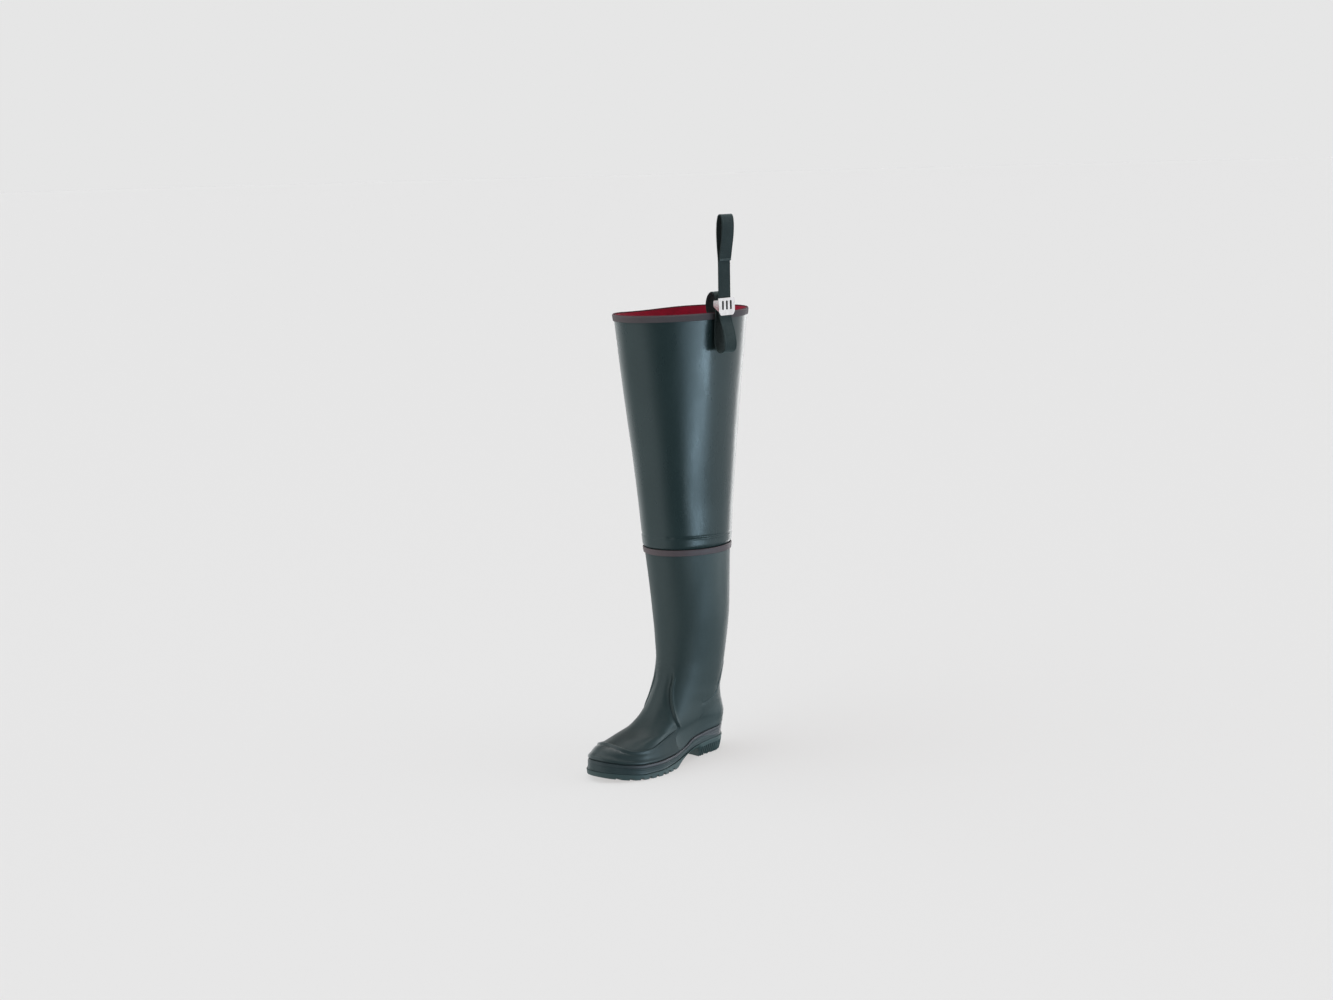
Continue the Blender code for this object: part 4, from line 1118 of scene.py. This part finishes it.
# ---------------------------------------------------------------- belt strap, its stitches and the buckle
def spline(points, spacing):
    p = np.asarray(points, float)
    p = np.vstack([2 * p[0] - p[1], p, 2 * p[-1] - p[-2]])
    fine = []
    for a, b, c, d in zip(p, p[1:], p[2:], p[3:]):
        s = np.linspace(0, 1, 30, endpoint=False)[:, None]
        fine.append(0.5 * (2 * b + (c - a) * s + (2 * a - 5 * b + 4 * c - d) * s**2 + (3 * b - a - 3 * c + d) * s**3))
    fine = np.vstack(fine + [p[-2:-1]])
    reach = np.concatenate([[0], np.cumsum(np.linalg.norm(np.diff(fine, axis=0), axis=1))])
    steps = np.linspace(0, reach[-1], int(round(reach[-1] / spacing)) + 1)
    return np.stack([np.interp(steps, reach, fine[:, k]) for k in range(2)], -1), steps


def strap_frame(spacing):
    line, reach = spline(np.stack([STRAP["o"], STRAP["z"]], -1), spacing)
    run = np.gradient(line, axis=0)
    run /= np.linalg.norm(run, axis=1, keepdims=True)
    return line, np.stack([-run[:, 1], run[:, 0]], -1), reach


def belt_strap():
    line, side, reach = strap_frame(0.9)
    half, thick = STRAP_WIDTH / 2, STRAP_THICK / 2
    # section of the webbing: a thin band with fuller selvedges and a shallow line beside each
    wide = np.concatenate([np.linspace(-half + 0.5, half - 0.5, 34)])
    fat = thick - 0.10 + 0.10 * step((np.abs(wide) - half + 3.2) / 1.2) - 0.16 * bump((np.abs(wide) - half + 4.0) / 0.5)
    section = [(w, h) for w, h in zip(wide, fat)]
    section += [(half - 0.12, thick * 0.62), (half, 0.0), (half - 0.12, -thick * 0.62)]
    section += [(w, -h) for w, h in zip(wide[::-1], fat[::-1])]
    section += [(-half + 0.12, -thick * 0.62), (-half, 0.0), (-half + 0.12, thick * 0.62)]
    section = np.array(section)
    ripple = 0.05 * np.sin(2 * math.pi * reach / 2.7)[:, None]
    h = section[None, :, 1] * (1 + ripple)
    points = np.stack(
        [
            STRAP_F + np.broadcast_to(section[None, :, 0], h.shape),
            line[:, 0:1] + side[:, 0:1] * h,
            line[:, 1:2] + side[:, 1:2] * h,
        ],
        -1,
    )
    strip("strap_webbing", points, WEBBING, "belt_strap", 55)


def tube_along(path, radius, segments=8):
    """A closed thin tube along a path, in the last's millimetres: points (rows, segments, 3)."""
    path = np.asarray(path, float)
    run = np.gradient(path, axis=0)
    run /= np.linalg.norm(run, axis=1, keepdims=True)
    helper = np.where(np.abs(run[:, 1:2]) < 0.9, np.array([[0.0, 1.0, 0.0]]), np.array([[1.0, 0.0, 0.0]]))
    a = np.cross(run, helper)
    a /= np.linalg.norm(a, axis=1, keepdims=True)
    b = np.cross(run, a)
    angle = np.arange(segments) * 2 * math.pi / segments
    radius = np.broadcast_to(radius, (len(path),))
    return path[:, None] + radius[:, None, None] * (a[:, None] * np.cos(angle)[None, :, None] + b[:, None] * np.sin(angle)[None, :, None])


def stitches():
    """Rows of thread stitches that close the belt loop and fix the strap inside the collar."""
    line, side, reach = strap_frame(0.5)
    loop_back = int(np.argmin(np.abs(line[:, 1] - 840.0) + np.where((reach > 330) & (reach < 470), 0, 1e3)))
    tail = np.where(reach > reach[-1] - 14.0)[0]
    verts, faces, uvs, count = [], [], [], 0
    rows = []
    for z_row in (841.6, 839.2):
        at = tail[int(np.argmin(np.abs(line[tail, 1] - z_row)))]
        rows.append((line[at], side[at]))
        back = int(np.argmin(np.abs(line[:, 1] - z_row) + np.where((reach > reach[loop_back] - 40) & (reach < reach[loop_back] + 40), 0, 1e3)))
        rows.append((line[back], side[back]))
    for z_row in (716.0, 730.0):
        at = int(np.argmin(np.abs(line[:, 1] - z_row) + np.where(reach < 25, 0, 1e3)))
        rows.append((line[at], side[at]))
    for (o, z), (so, sz) in rows:
        # the stitch lies on the face that shows: away from the strap's own other layer
        for face in (1, -1):
            height = face * (STRAP_THICK / 2 + 0.02)
            for start in np.arange(-12.2, 11.0, 3.1):
                s = np.linspace(0, 1, 7)
                dip = np.sin(s * math.pi) ** 0.6 * 0.34 - 0.20
                path = np.stack(
                    [STRAP_F + start + 2.5 * s, o + so * (height + face * dip), z + sz * (height + face * dip)], -1
                )
                ring = tube_along(path, 0.42 * (0.55 + 0.45 * np.sin(s * math.pi) ** 0.5), 6)
                rows_n, cols_n = ring.shape[:2]
                quad = quads(rows_n, cols_n, False, True) + count
                verts.append(ring.reshape(-1, 3))
                faces += [list(x) for x in quad]
                faces += [[count + j for j in range(cols_n)][::-1], [count + (rows_n - 1) * cols_n + j for j in range(cols_n)]]
                uvs.append(np.concatenate([grid_uv(ring, False, True), np.zeros((2 * cols_n, 2))]))
                count += rows_n * cols_n
    make("strap_stitches", np.concatenate(verts), faces, THREAD, None, np.concatenate(uvs), 60)


def add_box(bm, low, high):
    a, b = world([low, high])
    made = bmesh.ops.create_cube(bm, size=1.0)["verts"]
    bmesh.ops.scale(bm, verts=made, vec=np.abs(b - a))
    bmesh.ops.translate(bm, verts=made, vec=(a + b) / 2)


def raw_object(name, bm):
    bmesh.ops.recalc_face_normals(bm, faces=bm.faces)
    mesh = bpy.data.meshes.new(name)
    bm.to_mesh(mesh)
    bm.free()
    obj = bpy.data.objects.new(name, mesh)
    bpy.context.scene.collection.objects.link(obj)
    return obj


def buckle():
    """Pressed plate with three slots, chamfered lower corners, two ears and a bar, edges rounded."""
    half = PLATE_WIDTH / 2
    face_o = (PLATE_O - PLATE_THICK / 2, PLATE_O + PLATE_THICK / 2)
    outline = rounded(
        [
            (STRAP_F - half, PLATE_Z[1]),
            (STRAP_F - half, PLATE_Z[0] + PLATE_CHAMFER),
            (STRAP_F - half + PLATE_CHAMFER * 0.7, PLATE_Z[0]),
            (STRAP_F + half - PLATE_CHAMFER * 0.7, PLATE_Z[0]),
            (STRAP_F + half, PLATE_Z[0] + PLATE_CHAMFER),
            (STRAP_F + half, PLATE_Z[1]),
        ],
        2.0,
        5,
    )
    bm = bmesh.new()
    face = bm.faces.new([bm.verts.new(p) for p in world([(f, face_o[0], z) for f, z in outline])])
    grown = bmesh.ops.extrude_face_region(bm, geom=[face])
    bmesh.ops.translate(bm, verts=[g for g in grown["geom"] if isinstance(g, bmesh.types.BMVert)], vec=(PLATE_THICK * MM, 0, 0))
    obj = raw_object("buckle_metal", bm)
    helpers = []

    def use(helper, operation):
        cut = obj.modifiers.new(operation.lower(), "BOOLEAN")
        cut.operation, cut.solver, cut.object = operation, "EXACT", helper
        helpers.append(helper)

    for i in (-1, 0, 1):
        at = STRAP_F + i * SLOT_PITCH
        slot = rounded(
            [
                (at - SLOT_WIDTH / 2, SLOT_Z[0]),
                (at + SLOT_WIDTH / 2, SLOT_Z[0]),
                (at + SLOT_WIDTH / 2, SLOT_Z[1]),
                (at - SLOT_WIDTH / 2, SLOT_Z[1]),
            ],
            1.4,
            5,
        )
        bm = bmesh.new()
        face = bm.faces.new([bm.verts.new(p) for p in world([(f, face_o[0] - 2, z) for f, z in slot])])
        grown = bmesh.ops.extrude_face_region(bm, geom=[face])
        bmesh.ops.translate(bm, verts=[g for g in grown["geom"] if isinstance(g, bmesh.types.BMVert)], vec=((PLATE_THICK + 4) * MM, 0, 0))
        use(raw_object(f"slot_cut_{i + 2}", bm), "DIFFERENCE")
    for side in (-1, 1):
        ear_f = sorted((STRAP_F + side * half, STRAP_F + side * (half - EAR_THICK)))
        shape = rounded(
            [(PLATE_O, EAR_Z[0] - 3.0), (EAR_O, EAR_Z[0] + 5.5), (EAR_O, EAR_Z[1] - 1.0), (PLATE_O, EAR_Z[1])], 2.0, 5
        )
        bm = bmesh.new()
        face = bm.faces.new([bm.verts.new(p) for p in world([(ear_f[0] - 0.002, o, z) for o, z in shape])])
        grown = bmesh.ops.extrude_face_region(bm, geom=[face])
        bmesh.ops.translate(bm, verts=[g for g in grown["geom"] if isinstance(g, bmesh.types.BMVert)], vec=(0, -(EAR_THICK + 0.004) * MM, 0))
        use(raw_object(f"ear_{side + 2}", bm), "UNION")
    bm = bmesh.new()
    bmesh.ops.create_cone(bm, cap_ends=True, segments=24, radius1=BAR_RADIUS * MM, radius2=BAR_RADIUS * MM, depth=(PLATE_WIDTH - EAR_THICK) * MM)
    bmesh.ops.rotate(bm, verts=bm.verts, cent=(0, 0, 0), matrix=Matrix.Rotation(math.pi / 2, 3, "X"))
    bmesh.ops.translate(bm, verts=bm.verts, vec=world([(STRAP_F, BAR_O, (EAR_Z[0] + EAR_Z[1]) / 2)])[0])
    use(raw_object("bar", bm), "UNION")
    bpy.context.view_layer.update()
    graph = bpy.context.evaluated_depsgraph_get()
    done = bpy.data.meshes.new_from_object(obj.evaluated_get(graph))
    obj.modifiers.clear()
    obj.data = done
    for helper in helpers:
        bpy.data.objects.remove(helper, do_unlink=True)
    bevel = obj.modifiers.new("edges", "BEVEL")
    bevel.width, bevel.segments, bevel.limit_method, bevel.angle_limit = 0.0003, 2, "ANGLE", math.radians(35)
    done.shade_smooth()
    done.set_sharp_from_angle(angle=math.radians(35))
    done.materials.clear()
    done.materials.append(NICKEL)
    carried(obj, "buckle")


boot_shell()
boot_lining()
leg_shell()
leg_lining()
knee_tape()
collar_tape()
foxing_strip()
toe_guard()
heel_counter()
outsole()
insole()
belt_strap()
stitches()
buckle()

# ---------------------------------------------------------------- camera at the photograph's angle
AIM = world([100.0, 0.0, 414.2])
EYE = world([100.0 + 3359.0 * math.cos(math.radians(44.07)), 3359.0 * math.sin(math.radians(44.07)), 1005.2])
ROLL = math.radians(-1.53)
FOCAL_PX, IMAGE_W = 2041.0, 1333.0
ahead = Vector(AIM - EYE).normalized()
right = ahead.cross(Vector((0, 0, 1))).normalized()
above = right.cross(ahead)
axis_x = right * math.cos(ROLL) + above * math.sin(ROLL)
axis_y = above * math.cos(ROLL) - right * math.sin(ROLL)
camera = bpy.data.cameras.new("photo_camera")
camera.sensor_width = 36.0
camera.lens = FOCAL_PX * 36.0 / IMAGE_W
camera.shift_x = (666.5 - 673.7) / IMAGE_W
camera.shift_y = (515.9 - 500.0) / IMAGE_W
camera.clip_end = 500.0
camera_object = bpy.data.objects.new("photo_camera", camera)
camera_object.matrix_world = Matrix.Translation(Vector(EYE)) @ Matrix((axis_x, axis_y, -ahead)).transposed().to_4x4()
bpy.context.scene.collection.objects.link(camera_object)
bpy.context.scene.camera = camera_object

# ---------------------------------------------------------------- floor and studio light
def floor():
    bm = bmesh.new()
    bmesh.ops.create_circle(bm, cap_ends=True, segments=96, radius=120.0)
    mesh = bpy.data.meshes.new("floor")
    bm.to_mesh(mesh)
    bm.free()
    look = Look("floor_paper", Roughness=0.9, Specular_IOR_Level=0.1)
    look.shader.inputs["Base Color"].default_value = (0.80, 0.80, 0.80, 1.0)
    mesh.materials.append(look.mat)
    obj = bpy.data.objects.new("floor", mesh)
    bpy.context.scene.collection.objects.link(obj)
    # the sweep shows to the eye and takes the boot's shadow, without lighting the rubber from below
    obj.visible_diffuse = obj.visible_glossy = obj.visible_shadow = False
    return obj


floor()


def softbox(name, bearing, distance, height, size, power, colour=(1, 1, 1), aim_z=0.45, lean=0.0, on=None):
    """An area light at a bearing from the camera's own direction, in degrees to the viewer's right."""
    lamp = bpy.data.lights.new(name, "AREA")
    lamp.shape = "RECTANGLE"
    lamp.size, lamp.size_y = size
    lamp.energy = power
    lamp.color = colour
    obj = bpy.data.objects.new(name, lamp)
    heading = math.radians(-45.93 + bearing)
    at = Vector((AIM[0] + distance * math.cos(heading), AIM[1] + distance * math.sin(heading), height))
    to = Vector((AIM[0], AIM[1], aim_z)) - at
    turned = to.to_track_quat("-Z", "Y").to_matrix().to_4x4() @ Matrix.Rotation(math.radians(-lean), 4, "Z")
    obj.matrix_world = Matrix.Translation(at) @ turned
    bpy.context.scene.collection.objects.link(obj)
    obj.light_linking.receiver_collection = on or lit
    return obj


lit = bpy.data.collections.new("lit_by_softboxes")
for obj in bpy.context.scene.objects:
    if obj.type == "MESH" and obj.name != "floor":
        lit.objects.link(obj)


softbox("key_right", 57.0, 2.4, -0.03, (0.20, 1.7), 19.5, (0.58, 0.83, 1.0), 0.30, 66.0)
softbox("rim_right", 150.0, 2.6, 0.35, (0.9, 2.4), 16.0, (1, 1, 1), 0.35)
softbox("top", 120.0, 0.5, 2.8, (0.5, 0.9), 22.0, (1.0, 1.0, 1.0), 0.1)
softbox("top_back", 185.0, 1.6, 2.8, (1.2, 1.2), 9.0, (1.0, 1.0, 1.0), 0.08)
softbox("ceiling", -60.0, 1.2, 3.0, (4.0, 4.0), 17.0, (0.88, 0.97, 1.0), 0.1)

# low lights that only the moulded boot or only the leg takes
def only(name, *pieces):
    group = bpy.data.collections.new(name)
    for obj in lit.objects:
        if obj.name in pieces:
            group.objects.link(obj)
    return group


low_lit = only("lit_low_boot", "boot_shell", "heel_counter_skin")
side_lit = only("lit_low_side", "boot_shell", "heel_counter_skin", "foxing_strip", "outsole_tread")
softbox("low_right", 104.0, 2.2, 0.25, (0.3, 0.9), 6.5, (0.84, 0.96, 1.0), 0.22, 0.0, side_lit)
softbox("low_front", 24.0, 2.2, -0.30, (0.3, 0.5), 3.6, (0.84, 0.96, 1.0), 0.25, 0.0, low_lit)
softbox("toe_top", 185.0, 1.6, 2.8, (0.6, 0.6), 9.0, (1.0, 1.0, 1.0), 0.08, 0.0, only("lit_toe", "toe_guard_skin"))
softbox("leg_front", 34.0, 2.2, -0.50, (0.4, 0.4), 1.9, (0.70, 0.90, 1.0), 0.42, 0.0, only("lit_low_leg", "leg_shell"))

# the floor's own even light
paper = bpy.data.collections.new("lit_by_overhead")
paper.objects.link(bpy.data.objects["floor"])
sun = bpy.data.lights.new("overhead", "SUN")
sun.energy, sun.angle, sun.color = 2.444, math.radians(70), (1.0, 0.9585, 0.9465)
sun.use_shadow = False
sun_object = bpy.data.objects.new("overhead", sun)
sun_object.matrix_world = Matrix.Rotation(math.radians(8), 4, "Y")
sun_object.light_linking.receiver_collection = paper
bpy.context.scene.collection.objects.link(sun_object)

# studio round the boot: dim towards the camera, light walls left, right and behind
studio = bpy.data.worlds.new("studio")
studio.use_nodes = True
tree = studio.node_tree
tree.nodes.clear()


def world_node(kind, **links):
    made = tree.nodes.new(kind)
    for socket, value in links.items():
        tree.links.new(value, made.inputs[socket.replace("_", " ")])
    return made


def wall(axis, *stops):
    """Brightness of the studio along an axis, from (position, brightness, tint) stops."""
    share = world_node("ShaderNodeMapRange", Value=axis)
    share.inputs["From Min"].default_value = -1.0
    made = world_node("ShaderNodeValToRGB", Fac=share.outputs["Result"])
    made.color_ramp.interpolation = "EASE"
    while len(made.color_ramp.elements) < len(stops):
        made.color_ramp.elements.new(0.5)
    for element, (position, value, tint) in zip(made.color_ramp.elements, stops):
        element.position = position * 0.5 + 0.5
        element.color = (value * tint[0], value * tint[1], value * tint[2], 1.0)
    return made.outputs["Color"]


COOL, PLAIN = (0.84, 0.96, 1.0), (1.0, 1.0, 1.0)
where = world_node("ShaderNodeTexCoord")
turned = world_node("ShaderNodeMapping", Vector=where.outputs["Generated"])
turned.inputs["Rotation"].default_value = (0.0, 0.0, math.radians(-44.07))
split = world_node("ShaderNodeSeparateXYZ", Vector=turned.outputs["Vector"])


def combined(kind, a, b):
    """Two of the studio's parts multiplied or added."""
    made = tree.nodes.new("ShaderNodeMix")
    made.data_type, made.blend_type = "RGBA", kind
    next(socket for socket in made.inputs if socket.name == "Factor" and socket.type == "VALUE").default_value = 1.0
    for socket, colour in zip([socket for socket in made.inputs if socket.type == "RGBA"], (a, b)):
        tree.links.new(colour, socket)
    return next(socket for socket in made.outputs if socket.type == "RGBA")


x, y, z = (split.outputs[name] for name in "XYZ")
left = wall(x, (-1.0, 0.70, COOL), (-0.80, 0.88, COOL), (-0.58, 0.85, COOL), (-0.30, 0.24, COOL), (-0.12, 0.03, COOL), (0.50, 0.03, COOL), (0.60, 0.0, COOL))
nearer = wall(y, (-1.0, 1.0, PLAIN), (-0.1, 1.0, PLAIN), (0.45, 0.55, PLAIN), (1.0, 0.5, PLAIN))
right = wall(x, (0.40, 0.0, COOL), (0.60, 0.07, COOL), (0.88, 0.46, COOL), (1.0, 1.0, COOL))
behind = wall(y, (0.15, 0.0, PLAIN), (0.7, 0.55, PLAIN), (1.0, 0.9, PLAIN))
low = wall(z, (-0.55, 0.0, PLAIN), (-0.20, 1.0, PLAIN), (0.15, 1.0, PLAIN), (0.45, 0.0, PLAIN))
around = combined("ADD", combined("MULTIPLY", left, nearer), right)
around = combined("ADD", around, combined("MULTIPLY", behind, low))
light = tree.nodes.new("ShaderNodeBackground")
tree.links.new(around, light.inputs["Color"])
plain = tree.nodes.new("ShaderNodeBackground")
plain.inputs["Color"].default_value = (0.791, 0.791, 0.791, 1)
path = tree.nodes.new("ShaderNodeLightPath")
choose = tree.nodes.new("ShaderNodeMixShader")
tree.links.new(path.outputs["Is Camera Ray"], choose.inputs["Fac"])
tree.links.new(light.outputs["Background"], choose.inputs[1])
tree.links.new(plain.outputs["Background"], choose.inputs[2])
out = tree.nodes.new("ShaderNodeOutputWorld")
tree.links.new(choose.outputs["Shader"], out.inputs["Surface"])
bpy.context.scene.world = studio
bpy.context.scene.view_settings.view_transform = "Standard"
bpy.context.scene.view_settings.look = "None"
